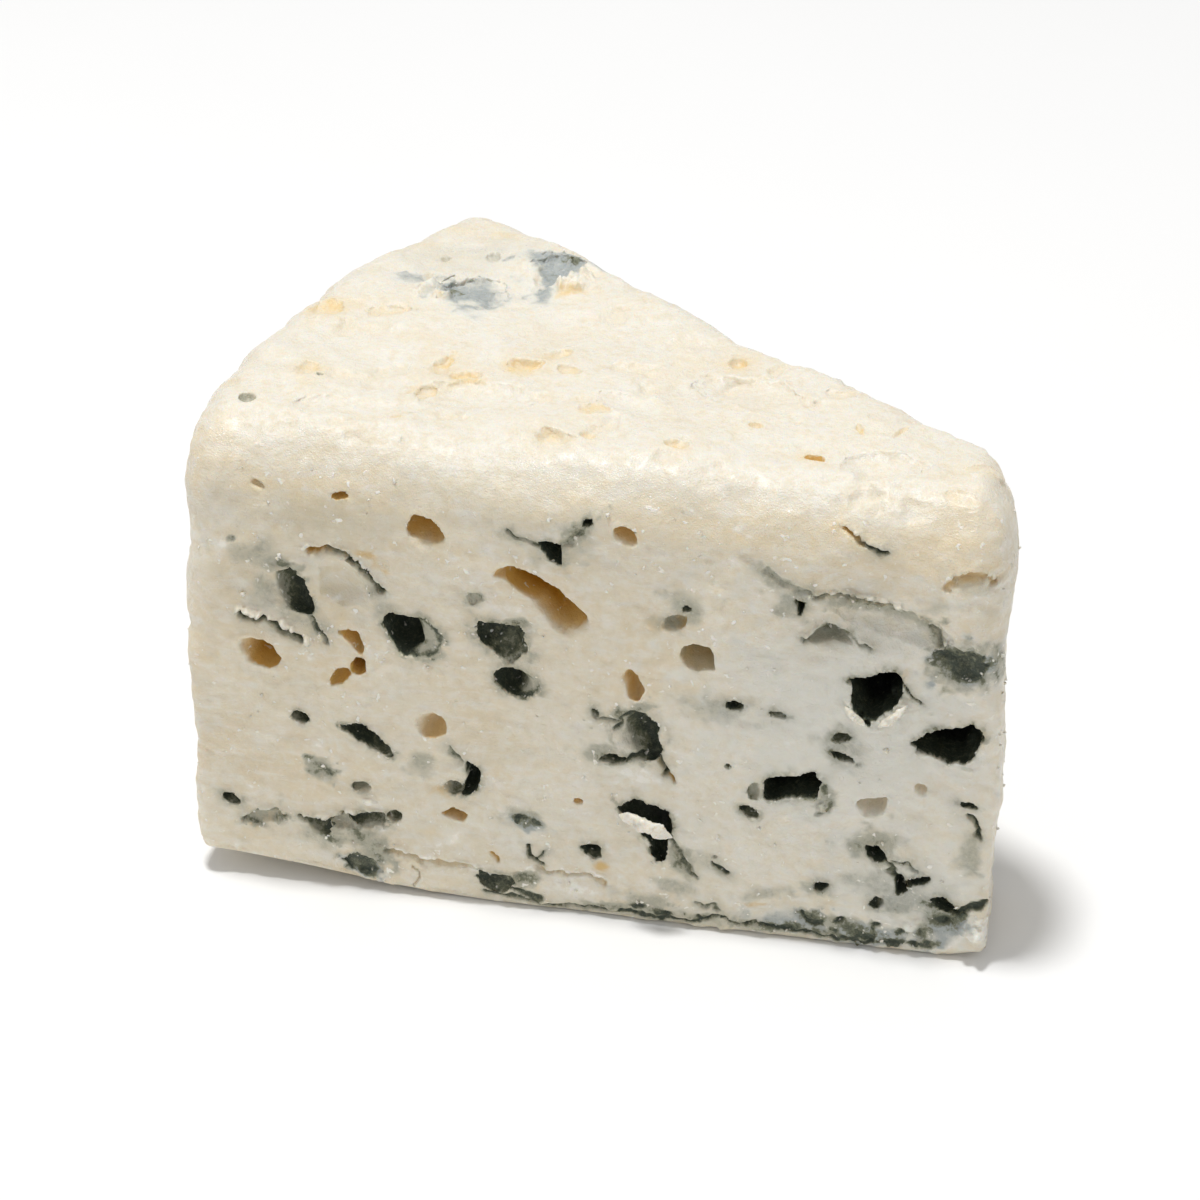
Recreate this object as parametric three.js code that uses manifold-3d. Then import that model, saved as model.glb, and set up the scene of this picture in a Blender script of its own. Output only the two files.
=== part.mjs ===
// Wedge of blue-veined cheese, cut from a half-height round wheel.
//
// Millimetres, +Z up. The wedge stands on its flat underside, with the origin in the middle of its
// footprint. The long front cut face looks along -Y, the rind is at -X and the blunt nose at +X.
//
// The shape starts as a block with three coordinates from 0 to 1: along (rind to nose), across (front
// cut to back cut) and up. Bending the block round the middle of the wheel gives the wedge. Its edges
// are then rounded, generously along the soft top and tightly along the underside, and the eyes that
// open in the cut faces are taken out as lumpy hollows.

import * as THREE from "three";
import { mergeVertices } from "three/addons/utils/BufferGeometryUtils.js";
import Module from "manifold-3d";

// Driving dimensions
const wheelRadius = 97; // middle of the wheel to the rind
const noseRadius = 19.3; // middle of the wheel to the blunt nose, along the front cut
const wedgeAngle = THREE.MathUtils.degToRad(33.7); // between the two cut faces
const noseLean = THREE.MathUtils.degToRad(4); // how far the nose turns towards the back cut
const height = 49.3; // half of a wheel just under 100 mm high
const rindRise = 0.8; // the top is this much higher at the rind

// Radii of the rounded edges
const topDrop = 7; // how far down the sides the rounding of the top edges starts
const topEdge = { rind: 6, nose: 5, front: 6, back: 4 }; // how far in over the top it ends
const cornerEdge = { rind: 3, nose: 1.2, front: 1.5, back: 1.5 }; // upright corners lower down
const undersideEdge = 1.5;

// Unevenness of the soft, hand-wrapped cheese
const rindLift = { height: 2.2, from: 70 }; // the underside leaves the board near the rind
const rindBulge = 0.9; // the upper half of the rind swells in the middle
const backDip = 0.8; // a shallow dent in the top of the back cut
const backDipAt = 58; // its distance from the middle of the wheel
const waviness = 0.35; // height of the slow waves over all faces

// Number of steps over the block, and how far they crowd towards the edges
const steps = { along: 26, across: 14, up: 16 };
const crowding = 0.1;

const rindColour = 0xf1e6cf;
const eyeDetail = 2;

// The middle of the wheel, placed so that the wedge is centred on the origin
const wheelX = (wheelRadius + noseRadius) / 2;
const wheelY = -0.5 * wheelRadius * Math.sin(wedgeAngle);

// Eyes that open in the front cut: middle (x, z), half length, half width, tilt in degrees
// anticlockwise, and how deep they go.
const frontEyes = [
  { x: -3.5, z: 35, long: 5.2, short: 2.7, tilt: -42, deep: 5 },
  { x: 27, z: 28.5, long: 2.9, short: 2.3, tilt: 20, deep: 7 },
  { x: 34, z: 24.5, long: 3.4, short: 1.9, tilt: 12, deep: 6 },
  { x: 19.5, z: 17.5, long: 3.2, short: 1.9, tilt: 6, deep: 7 },
  { x: 26, z: 37.5, long: 4.6, short: 1.8, tilt: -8, deep: 2.5 },
  { x: 35, z: 41, long: 2.4, short: 1.6, tilt: 0, deep: 2 },
  { x: -16.5, z: 30, long: 2.9, short: 2, tilt: -15, deep: 5 },
  { x: -8, z: 30.5, long: 2.6, short: 2, tilt: 5, deep: 4 },
  { x: -7, z: 26, long: 1.5, short: 1.4, tilt: 0, deep: 4 },
  { x: -28, z: 33.5, long: 2.7, short: 2.2, tilt: 70, deep: 4 },
  { x: -31.5, z: 26.5, long: 2.4, short: 1.3, tilt: -25, deep: 5 },
  { x: -22, z: 26.5, long: 2, short: 1.3, tilt: 55, deep: 4 },
  { x: -21, z: 17.5, long: 2.7, short: 1.4, tilt: -30, deep: 4 },
  { x: -15, z: 20, long: 1.7, short: 1.5, tilt: 0, deep: 3 },
  { x: -15, z: 41.5, long: 2.4, short: 1.4, tilt: -35, deep: 4 },
  { x: -11, z: 14.5, long: 1.9, short: 1.3, tilt: 60, deep: 4 },
  { x: 5, z: 21, long: 3, short: 2.5, tilt: 80, deep: 4 },
  { x: 6, z: 11, long: 3.6, short: 2.1, tilt: -62, deep: 5 },
  { x: 10.5, z: 31, long: 1.8, short: 1.5, tilt: 0, deep: 3 },
  { x: 0.5, z: 7.5, long: 1.5, short: 1.1, tilt: -40, deep: 3 },
  { x: 30, z: 9.5, long: 2.8, short: 1.1, tilt: -28, deep: 4 },
];

// Eyes that open in the back cut: distance from the middle of the wheel, height, and the rest alike
const backEyes = [
  { rho: 84, z: 33, long: 3.2, short: 2.2, tilt: 25, deep: 6 },
  { rho: 78, z: 18, long: 2.6, short: 1.8, tilt: -30, deep: 5 },
  { rho: 70, z: 38, long: 3.6, short: 1.9, tilt: -20, deep: 5 },
  { rho: 66, z: 25, long: 2.2, short: 1.8, tilt: 0, deep: 4 },
  { rho: 60, z: 11, long: 3, short: 1.7, tilt: 15, deep: 5 },
  { rho: 54, z: 31, long: 3.4, short: 2.4, tilt: 40, deep: 6 },
  { rho: 47, z: 19, long: 2.4, short: 2, tilt: -50, deep: 5 },
  { rho: 41, z: 36, long: 2.2, short: 1.5, tilt: 10, deep: 4 },
  { rho: 36, z: 10, long: 2.6, short: 1.5, tilt: -15, deep: 4 },
];

function bump(value, middle, width) {
  return Math.exp(-(((value - middle) / width) ** 2));
}

// Distance from the middle of the wheel to the nose in the direction phi
function noseAt(phi) {
  return (noseRadius * Math.cos(noseLean)) / Math.cos(phi + noseLean);
}

// Height of the top at a distance rho from the middle of the wheel
function topAt(rho) {
  return height + rindRise * ((rho - noseRadius) / (wheelRadius - noseRadius) - 0.5);
}

// How far into an edge of the given radius a point lies: 0 outside it, 1 on the face itself
function edgeShare(distance, radius) {
  return Math.max(0, 1 - distance / radius);
}

// Point of the wheel at distance rho, arc length arc from the front cut, and height z. Arc length
// turns into an angle by the distance rhoOfArc.
function onWheel(rho, arc, rhoOfArc, z) {
  const phi = arc / rhoOfArc;
  return new THREE.Vector3(wheelX - rho * Math.cos(phi), wheelY + rho * Math.sin(phi), z);
}

// Turns block coordinates into a point of the wedge with rounded edges. Near an edge the point has a
// share of each face that meets there. Scaling the shares by the largest one over their length turns
// the square corner into a round one.
function wedgePoint(along, across, up) {
  const phi = wedgeAngle * across;
  const nose = noseAt(phi);
  const rho = wheelRadius + (nose - wheelRadius) * along;
  const width = rho * wedgeAngle;
  const top = topAt(rho);
  const z = top * up;

  // The upright corners widen into the soft top edges
  const soft = THREE.MathUtils.smoothstep(z, 0.45 * height, height - topDrop);
  const radius = {};
  for (const side of Object.keys(cornerEdge)) {
    radius[side] = THREE.MathUtils.lerp(cornerEdge[side], topEdge[side], soft);
  }

  const share = new THREE.Vector3(
    edgeShare(wheelRadius - rho, radius.rind) - edgeShare(rho - nose, radius.nose),
    edgeShare(width * across, radius.front) - edgeShare(width * (1 - across), radius.back),
    edgeShare(top - z, topDrop) - edgeShare(z, undersideEdge),
  );
  const largest = Math.max(Math.abs(share.x), Math.abs(share.y), Math.abs(share.z));
  const lost = largest > 0 ? 1 - largest / share.length() : 0;
  const roundRho = rho - share.x * lost * (share.x > 0 ? radius.rind : radius.nose);
  const roundArc = width * across + share.y * lost * (share.y > 0 ? radius.front : radius.back);
  const roundZ = z - share.z * lost * (share.z > 0 ? topDrop : undersideEdge);

  return unevenPoint(roundRho, roundArc, rho, roundZ, { along, across, up });
}

// Adds the swelling of the rind, the dent in the back cut, slow waves, and the lift of the underside
function unevenPoint(rho, arc, rhoOfArc, z, block) {
  const high = THREE.MathUtils.smoothstep(z, 0.4 * height, 0.8 * height);
  const low = 1 - THREE.MathUtils.smoothstep(z, 0, 0.3 * height);
  const swell = rindBulge * bump(block.across, 0.6, 0.25) * high * (1 - block.along) ** 4;
  const dent = backDip * bump(rho, backDipAt, 9) * high * block.across ** 4;
  const point = onWheel(rho + swell, arc - dent, rhoOfArc, z);

  // The waves fade out at the underside, which stays flat
  const rise = THREE.MathUtils.smoothstep(z, 0, 8);
  const waveX = Math.sin(0.19 * point.y + 0.23 * z + 1.3) + Math.sin(0.31 * z - 0.4 * point.y);
  const waveY = Math.sin(0.17 * point.x + 0.12 * z) + Math.sin(0.29 * point.x - 0.21 * z + 2);
  const waveZ = Math.sin(0.15 * point.x + 0.9) + Math.sin(0.27 * point.y + 0.22 * point.x);
  point.x += 0.5 * waviness * rise * waveX;
  point.y += 0.5 * waviness * rise * waveY;
  point.z += 0.5 * waviness * block.up ** 4 * waveZ;

  const lift = THREE.MathUtils.smoothstep(rho, rindLift.from, wheelRadius) ** 2;
  point.z += rindLift.height * lift * low;
  return point;
}

// Crowds even steps from 0 to 1 towards both ends
function crowd(step) {
  return step - crowding * Math.sin(2 * Math.PI * step);
}

function wedgeGeometry() {
  const geometry = new THREE.BoxGeometry(1, 1, 1, steps.along, steps.across, steps.up);
  const position = geometry.attributes.position;
  const block = new THREE.Vector3();
  for (let i = 0; i < position.count; i += 1) {
    block.fromBufferAttribute(position, i).addScalar(0.5);
    const point = wedgePoint(crowd(block.x), crowd(block.y), crowd(block.z));
    position.setXYZ(i, point.x, point.y, point.z);
  }
  return geometry;
}

// A lumpy hollow with its long half axis along X, its short one along Z and its depth along Y
function eyeGeometry(eye) {
  const geometry = new THREE.IcosahedronGeometry(1, eyeDetail);
  const position = geometry.attributes.position;
  const point = new THREE.Vector3();
  for (let i = 0; i < position.count; i += 1) {
    point.fromBufferAttribute(position, i);
    const lumps = Math.sin(3.1 * point.x + eye.z) * Math.cos(2.7 * point.z + 1.9 * point.y + eye.deep);
    point.multiplyScalar(1 + 0.16 * lumps);
    position.setXYZ(i, eye.long * point.x, eye.deep * point.y, eye.short * point.z);
  }
  geometry.rotateY(-THREE.MathUtils.degToRad(eye.tilt));
  return geometry;
}

function frontEyeGeometry(eye) {
  return eyeGeometry(eye).translate(eye.x, wheelY, eye.z);
}

// The back cut runs through the middle of the wheel at the wedge angle
function backEyeGeometry(eye) {
  const geometry = eyeGeometry(eye).translate(-eye.rho, 0, eye.z);
  return geometry.rotateZ(-wedgeAngle).translate(wheelX, wheelY, 0);
}

// manifold-3d solid from a closed three.js geometry
function toSolid(wasm, geometry) {
  const bare = geometry.clone();
  bare.deleteAttribute("normal");
  bare.deleteAttribute("uv");
  const merged = mergeVertices(bare, 1e-4);
  const mesh = new wasm.Mesh({
    numProp: 3,
    vertProperties: new Float32Array(merged.attributes.position.array),
    triVerts: new Uint32Array(merged.index.array),
  });
  return new wasm.Manifold(mesh);
}

function toGeometry(solid) {
  const mesh = solid.getMesh();
  const geometry = new THREE.BufferGeometry();
  geometry.setAttribute("position", new THREE.BufferAttribute(mesh.vertProperties, 3));
  geometry.setIndex(new THREE.BufferAttribute(mesh.triVerts, 1));
  geometry.computeVertexNormals();
  return geometry;
}

// Moves the geometry so that the origin is in the middle of its footprint, at its lowest point
function standOnOrigin(geometry) {
  geometry.computeBoundingBox();
  const box = geometry.boundingBox;
  const middle = box.getCenter(new THREE.Vector3());
  return geometry.translate(-middle.x, -middle.y, -box.min.z);
}

const wasm = await Module();
wasm.setup();

let solid = toSolid(wasm, wedgeGeometry());
for (const eye of frontEyes) {
  solid = solid.subtract(toSolid(wasm, frontEyeGeometry(eye)));
}
for (const eye of backEyes) {
  solid = solid.subtract(toSolid(wasm, backEyeGeometry(eye)));
}

const cheese = new THREE.Mesh(
  standOnOrigin(toGeometry(solid)),
  new THREE.MeshStandardMaterial({ color: rindColour, roughness: 0.5, metalness: 0 }),
);
cheese.name = "cheese_wedge";

const wedge = new THREE.Group();
wedge.add(cheese);

export default wedge;
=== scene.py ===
"""Wedge of blue-veined cheese: its fine surface, its crumbs and a plain studio.

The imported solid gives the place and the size. The wedge is worked out again here from the same driving
sizes on a much finer lattice, with every eye, crack, vein and smear in its surface, and stands for the
solid. Lengths inside the making functions are millimetres, and become metres when a mesh is written.
"""

import math
from collections import namedtuple

import bpy
import numpy as np
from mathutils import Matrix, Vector


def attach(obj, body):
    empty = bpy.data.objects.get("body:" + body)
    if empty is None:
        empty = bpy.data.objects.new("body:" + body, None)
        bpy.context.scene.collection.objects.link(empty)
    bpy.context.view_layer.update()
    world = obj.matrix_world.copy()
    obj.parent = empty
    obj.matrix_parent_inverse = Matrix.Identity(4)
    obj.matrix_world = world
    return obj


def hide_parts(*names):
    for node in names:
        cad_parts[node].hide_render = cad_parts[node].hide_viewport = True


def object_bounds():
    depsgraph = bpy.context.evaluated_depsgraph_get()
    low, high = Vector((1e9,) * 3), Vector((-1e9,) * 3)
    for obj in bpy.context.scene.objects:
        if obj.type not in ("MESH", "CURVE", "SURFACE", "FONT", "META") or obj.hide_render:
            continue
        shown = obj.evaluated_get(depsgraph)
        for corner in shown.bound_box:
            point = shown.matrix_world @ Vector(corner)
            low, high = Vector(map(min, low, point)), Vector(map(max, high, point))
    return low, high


bl_info = {
    "name": "Blue cheese wedge",
    "version": (1, 0, 0),
    "blender": (4, 5, 0),
    "location": "3D View > Sidebar > Cheese",
    "description": "Builds a wedge of blue-veined cheese around its packed solid",
    "category": "Add Mesh",
}

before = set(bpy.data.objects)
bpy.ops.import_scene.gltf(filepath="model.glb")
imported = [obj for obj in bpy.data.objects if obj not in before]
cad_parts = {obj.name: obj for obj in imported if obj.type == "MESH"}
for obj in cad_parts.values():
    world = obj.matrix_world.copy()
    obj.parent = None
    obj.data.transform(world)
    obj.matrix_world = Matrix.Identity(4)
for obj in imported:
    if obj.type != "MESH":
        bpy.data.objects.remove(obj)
CAD_LOW, CAD_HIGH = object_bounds()
CHEESE = "cheese_wedge"
PASTE_SLOT = "blue_veined_paste"
SURFACE = "cheese_surface"
CRUMB_PASTE = "cheese_crumb"
MM = 0.001


# -------------------- Settings --------------------

def amount(name, description, default, **kind):
    """A number property, of this unit and subtype if any."""
    return bpy.props.FloatProperty(name=name, description=description, default=default, **kind)


def length(name, description, default):
    """A length property, in metres."""
    return amount(name, description, default, unit="LENGTH", subtype="DISTANCE", precision=5)


def turning(name, description, degrees):
    """An angle property, from its default in degrees."""
    return amount(name, description, math.radians(degrees), unit="ROTATION", subtype="ANGLE")


def whole(name, description, default, least=0):
    """A whole-number property."""
    return bpy.props.IntProperty(name=name, description=description, default=default, min=least)


def colour(name, description, default):
    """A linear colour property."""
    return bpy.props.FloatVectorProperty(
        name=name, description=description, default=default, subtype="COLOR", size=3, min=0.0, max=1.0)


class WedgeShape(bpy.types.PropertyGroup):
    """Sizes of the wedge"""

    wheel_radius: length("Wheel radius", "Middle of the wheel to the rind", 97 * MM)
    nose_radius: length("Nose radius", "Middle of the wheel to the blunt nose", 19.3 * MM)
    wedge_angle: turning("Wedge angle", "Angle between the two cut faces", 33.7)
    nose_lean: turning("Nose lean", "Turn of the nose towards the back cut", 4)
    height: length("Height", "Half the height of the wheel", 49.3 * MM)
    rind_rise: length("Rind rise", "How much higher the top is at the rind", 0.8 * MM)
    top_drop: length("Top drop", "Where down the sides the top edges start to round", 7 * MM)
    rind_lift: length("Rind lift", "Height of the underside at the rind", 2.4 * MM)
    lattice_step: length("Lattice step", "Spacing of the surface's lattice before thinning", 0.155 * MM)
    triangles: whole("Triangles", "Number of triangles kept after thinning", 196000, 20000)


class PasteLook(bpy.types.PropertyGroup):
    """Colours of the paste, its mould and its pockets"""

    paste: colour("Paste", "Clean paste", (0.81, 0.735, 0.58))
    paste_pale: colour("Pale paste", "Whiter smears in the paste", (0.85, 0.82, 0.74))
    paste_warm: colour("Warm paste", "Beige patches in the paste", (0.79, 0.685, 0.50))
    shade: colour("Shade", "Darker hollows between the grains", (0.66, 0.58, 0.44))
    # This white is partly specks of salt and curd and partly painted glints of the moist paste
    curd_white_and_glint: colour("Speck", "White specks of salt and curd", (0.95, 0.92, 0.84))
    tan: colour("Tan", "Dried orange-tan patches on the crust", (0.82, 0.64, 0.35))
    # The amber is partly the moist walls' own colour and partly a painted glow of light through the
    # translucent paste; the dark amber is partly painted shade in their depths
    amber: colour("Amber", "Walls of clean pockets", (0.72, 0.47, 0.14))
    dark_amber_and_depth_shade: colour("Dark amber", "Depths of clean pockets", (0.54, 0.285, 0.014))
    cool: colour("Cool paste", "Milky paste where veins run close under the cut", (0.785, 0.78, 0.715))
    haze: colour("Haze", "Grey veil where mould shows through the paste", (0.45, 0.435, 0.34))
    blue: colour("Blue", "Blue-grey bloom on the crust", (0.40, 0.43, 0.42))
    olive: colour("Olive", "Thin mould", (0.185, 0.19, 0.12))
    mould: colour("Mould", "Green-black velvet of the mould", (0.045, 0.058, 0.038))
    # Dark mould is partly the black of the mould and partly painted shade in the depths of eyes
    dark_mould_and_depth_shade: colour("Dark mould", "Mould in the depths of an eye", (0.008, 0.009, 0.007))


class CrumbSettings(bpy.types.PropertyGroup):
    """Loose crumbs on the wedge"""

    size: length("Crumb size", "Usual width of a crumb", 0.34 * MM)
    count: whole("Crumbs", "Number of loose crumbs", 230)


class StudioSettings(bpy.types.PropertyGroup):
    """Floor, lights and camera"""

    floor: colour("Floor", "Plain pale floor", (0.93, 0.93, 0.928))
    sky: amount("Sky", "Strength of the even light", 0.485)
    key: amount("Key", "Power of the large lamp", 4.85, unit="POWER")
    yaw: turning("Yaw", "Turn of the camera to the right", 11.4)
    pitch: turning("Pitch", "Height of the camera as an angle", 31.5)
    distance: length("Distance", "Camera to the point it looks at", 372 * MM)
    aim_x: length("Aim X", "Point the camera looks at, along the wedge", -3.7 * MM)
    aim_z: length("Aim Z", "Height of the point the camera looks at", 19.7 * MM)
    lens: amount("Lens", "Focal length in millimetres", 111.5, unit="CAMERA")


# -------------------- Noise --------------------

def lattice_value(i, j, k, seed):
    """Even random number from 0 to 1 for each whole-number corner, made by mixing its bits."""
    mixed = (
        i.astype(np.uint32) * np.uint32(374761393)
        + j.astype(np.uint32) * np.uint32(668265263)
        + k.astype(np.uint32) * np.uint32(2246822519)
        + np.uint32((seed * 3266489917) & 0xFFFFFFFF)
    )
    mixed = (mixed ^ (mixed >> np.uint32(13))) * np.uint32(1274126177)
    mixed = (mixed ^ (mixed >> np.uint32(15))) * np.uint32(2246822519)
    mixed = mixed ^ (mixed >> np.uint32(16))
    return (mixed & np.uint32(0xFFFFFF)).astype(np.float32) / np.float32(0xFFFFFF)


def noise(points, size, seed):
    """Smooth noise from -1 to 1: the random values of the eight corners round a point, blended by the
    fade 6t^5 - 15t^4 + 10t^3 of its place between them."""
    scaled = points / np.asarray(size)
    whole = np.floor(scaled)
    part = (scaled - whole).astype(np.float32)
    fade = part * part * part * (part * (part * 6 - 15) + 10)
    i, j, k = (whole[:, axis].astype(np.int64) for axis in range(3))
    total = np.zeros(len(points), np.float32)
    for di in (0, 1):
        share_i = fade[:, 0] if di else 1 - fade[:, 0]
        for dj in (0, 1):
            share_ij = share_i * (fade[:, 1] if dj else 1 - fade[:, 1])
            for dk in (0, 1):
                share = share_ij * (fade[:, 2] if dk else 1 - fade[:, 2])
                total += share * lattice_value(i + di, j + dj, k + dk, seed)
    return 2 * total - 1


# How far the layers are moved apart, so that their corners don't meet
LAYER_SHIFT = 17.3


def layered_noise(points, size, seed, layers=3, fall=0.5):
    """Noise of a size, plus ever finer and weaker noise, each layer half as large."""
    total = np.zeros(len(points), np.float32)
    for layer in range(layers):
        finer = noise(points + LAYER_SHIFT * layer, np.asarray(size) / 2**layer, seed + layer)
        total += fall**layer * finer
    return total


# -------------------- Small formulas --------------------

def smooth(value, low, high):
    """0 below low, 1 above high, and the curve 3t^2 - 2t^3 between them."""
    t = np.clip((value - low) / (high - low), 0, 1)
    return t * t * (3 - 2 * t)


def bump(value, middle, width):
    """A bell: e to the power of minus the squared distance from the middle in widths."""
    return np.exp(-(((value - middle) / width) ** 2))


def mm(metres):
    """A setting in metres, in millimetres."""
    return metres / MM


# -------------------- The wedge before its eyes --------------------

# Radii of the upright edges high up and low down, and of the bottom edge
EDGE_TOP = {"rind": 4.6, "nose": 4.2, "front": 6.0, "back": 4.0}
EDGE_LOW = {"rind": 1.2, "nose": 0.9, "front": 1.0, "back": 1.3}
EDGE_UNDER = 1.0

# Height of the gentle waves in every face
WAVE = 0.175

# How far from the middle of the wheel the underside starts to lift, and the lift of the nose's foot
LIFT_FROM = 66
NOSE_LIFT = 0.8
NOSE_LIFT_RUN = 5


class Wheel:
    """The wheel that the wedge was cut from, in millimetres, with its middle placed so that the wedge
    is centred on the origin."""

    def __init__(self, shape):
        self.radius = mm(shape.wheel_radius)
        self.nose = mm(shape.nose_radius)
        self.angle = shape.wedge_angle
        self.lean = shape.nose_lean
        self.height = mm(shape.height)
        self.rise = mm(shape.rind_rise)
        self.drop = mm(shape.top_drop)
        self.lift = mm(shape.rind_lift)
        self.x = (self.radius + self.nose) / 2
        self.y = -0.5 * self.radius * math.sin(self.angle)

    def top_at(self, rho):
        """Height of the top, which rises evenly from the nose to the rind."""
        return self.height + self.rise * ((rho - self.nose) / (self.radius - self.nose) - 0.5)

    def lift_at(self, rho):
        """Lift of the underside, which grows towards the rind as a smooth step to the power 1.2."""
        return self.lift * smooth(rho, LIFT_FROM, self.radius) ** 1.2

    def polar(self, points):
        """Distance and angle from the middle of the wheel, the front cut being at angle 0."""
        dx = self.x - points[:, 0]
        dy = points[:, 1] - self.y
        return np.hypot(dx, dy), np.arctan2(dy, dx)


def edge_share(distance, radius):
    """1 on a face, 0 at a distance of the edge radius or more from it."""
    return np.maximum(0, 1 - distance / radius)


def wedge_points(block, wheel):
    """Block coordinates (along, across, up), each from 0 to 1, to points of the rounded wedge. A point
    lies at the distance from the middle of the wheel that along gives and on the arc that across gives.
    Near an edge it has a share of each face that meets there, and the largest share over the length of
    all three turns the square corner into a round one."""
    along, across, up = block.T
    phi = wheel.angle * across
    nose = wheel.nose * math.cos(wheel.lean) / np.cos(phi + wheel.lean)
    rho = wheel.radius + (nose - wheel.radius) * along
    width = rho * wheel.angle
    top = wheel.top_at(rho)
    z = top * up

    soft = smooth(z, 0.45 * wheel.height, wheel.height - wheel.drop)
    radius = {side: EDGE_LOW[side] + (EDGE_TOP[side] - EDGE_LOW[side]) * soft for side in EDGE_LOW}
    share = np.stack([
        edge_share(wheel.radius - rho, radius["rind"]) - edge_share(rho - nose, radius["nose"]),
        edge_share(width * across, radius["front"]) - edge_share(width * (1 - across), radius["back"]),
        edge_share(top - z, wheel.drop) - edge_share(z, EDGE_UNDER),
    ], axis=1)
    largest = np.abs(share).max(axis=1)
    whole = np.linalg.norm(share, axis=1)
    lost = np.where(whole > 0, 1 - largest / np.maximum(whole, 1e-9), 0)
    round_rho = rho - share[:, 0] * lost * np.where(share[:, 0] > 0, radius["rind"], radius["nose"])
    side = np.where(share[:, 1] > 0, radius["front"], radius["back"])
    round_arc = width * across + share[:, 1] * lost * side
    round_z = z - share[:, 2] * lost * np.where(share[:, 2] > 0, wheel.drop, EDGE_UNDER)

    # The rind swells, and the back cut has dents and bulges that also lower and lift its top edge
    high = smooth(round_z, 0.4 * wheel.height, 0.8 * wheel.height)
    swell = (0.95 * bump(across, 0.58, 0.25) + 0.5 * bump(across, 0.18, 0.15)) * high * (1 - along) ** 4
    bulge = 0.7 * bump(round_rho, 40, 6) + 0.6 * bump(round_rho, 84, 8) - bump(round_rho, 55, 5)
    turn = (round_arc + (bulge - 0.7 * bump(round_rho, 58, 9)) * high * across**4) / rho
    points = np.stack([
        wheel.x - (round_rho + swell) * np.cos(turn),
        wheel.y + (round_rho + swell) * np.sin(turn),
        round_z + 0.7 * bulge * up**4 * across**2,
    ], axis=1)

    # The faces wave gently, but not at the foot
    rise = smooth(round_z, 0, 8)
    x, y = points[:, 0].copy(), points[:, 1].copy()
    points[:, 0] += WAVE * rise * (np.sin(0.19 * y + 0.23 * z + 1.3) + np.sin(0.31 * z - 0.4 * y))
    points[:, 1] += WAVE * rise * (np.sin(0.17 * x + 0.12 * z) + np.sin(0.29 * x - 0.21 * z + 2))
    points[:, 2] += WAVE * up**4 * (np.sin(0.15 * x + 0.9) + np.sin(0.27 * y + 0.22 * x))
    low = 1 - smooth(round_z, 0, 0.3 * wheel.height)
    points[:, 2] += wheel.lift_at(round_rho) * low
    points[:, 2] += NOSE_LIFT * (1 - smooth(round_rho, wheel.nose, wheel.nose + NOSE_LIFT_RUN)) * low
    return points


def block_lattice(steps):
    """Closed surface of a block of whole-number lattice points. Each of its six sides is a grid of the
    other two coordinates, wound so that it faces out, and points that two sides share are merged."""
    sizes = np.asarray(steps) + 1
    numbers, quads, count = [], [], 0
    for axis in range(3):
        first, second = (axis + 1) % 3, (axis + 2) % 3
        a, b = np.meshgrid(np.arange(sizes[first]), np.arange(sizes[second]), indexing="ij")
        for end in (0, steps[axis]):
            lattice = np.zeros((a.size, 3), np.int64)
            lattice[:, axis] = end
            lattice[:, first] = a.ravel()
            lattice[:, second] = b.ravel()
            number = (lattice[:, 0] * sizes[1] + lattice[:, 1]) * sizes[2] + lattice[:, 2]
            grid = count + np.arange(a.size).reshape(a.shape)
            ring = [grid[:-1, :-1], grid[1:, :-1], grid[1:, 1:], grid[:-1, 1:]]
            if end == 0:
                ring.reverse()
            quads.append(np.stack([corner.ravel() for corner in ring], axis=1))
            numbers.append(number)
            count += a.size
    kept, merged = np.unique(np.concatenate(numbers), return_inverse=True)
    lattice = np.stack(np.unravel_index(kept, sizes), axis=1)
    return lattice / np.asarray(steps), merged[np.concatenate(quads)]


def surface_normals(points, quads):
    """Outward direction at each point: the sum of its quads' diagonals' cross products, made unit."""
    first = points[quads[:, 2]] - points[quads[:, 0]]
    second = points[quads[:, 3]] - points[quads[:, 1]]
    facing = np.cross(first, second)
    total = np.stack([
        np.bincount(quads.ravel(), weights=np.repeat(facing[:, axis], 4), minlength=len(points))
        for axis in range(3)
    ], axis=1)
    return total / np.maximum(np.linalg.norm(total, axis=1, keepdims=True), 1e-12)


# -------------------- Eyes, marks and cracks --------------------

# A view of one face: which points lie near it, u and v along it, and the three directions in space
Face = namedtuple("Face", "rows u v to_u to_v to_w")

# An eye that opens in a face. at is its middle and rim its outline round that. deep is its depth,
# belly how far it widens under the surface, as an angle (less than 0 for a shallow bowl), and ragged
# the unevenness of its rim. mould, amber and tan cover its walls. light is a direction in degrees and
# how much shallower and barer the wall is on that side. halo is the width of the grey veil round the
# eye, lip how far its lower rim stands up as a chalky edge, and ring how far mould keeps to the rim on
# the light side too.
Eye = namedtuple("Eye", "at rim deep belly ragged mould amber tan light halo lip ring",
                 defaults=(0, 0, 0, (-90, 0.6), 0, 0, 0))

# A soft-edged mark: middle, half length, half width, tilt in degrees, kind and strength
Mark = namedtuple("Mark", "at long short tilt kind strength")

# A thin crack or vein: points it runs through, width, depth, kind and strength, and how far the edge on
# the left of its way stands up, pale and crumbly
Crack = namedtuple("Crack", "path width deep kind strength lip", defaults=(0.0,))

# A raised flake along a path of (u, v, height above the face), with its half width and half thickness
Flake = namedtuple("Flake", "path width thick")


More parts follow.
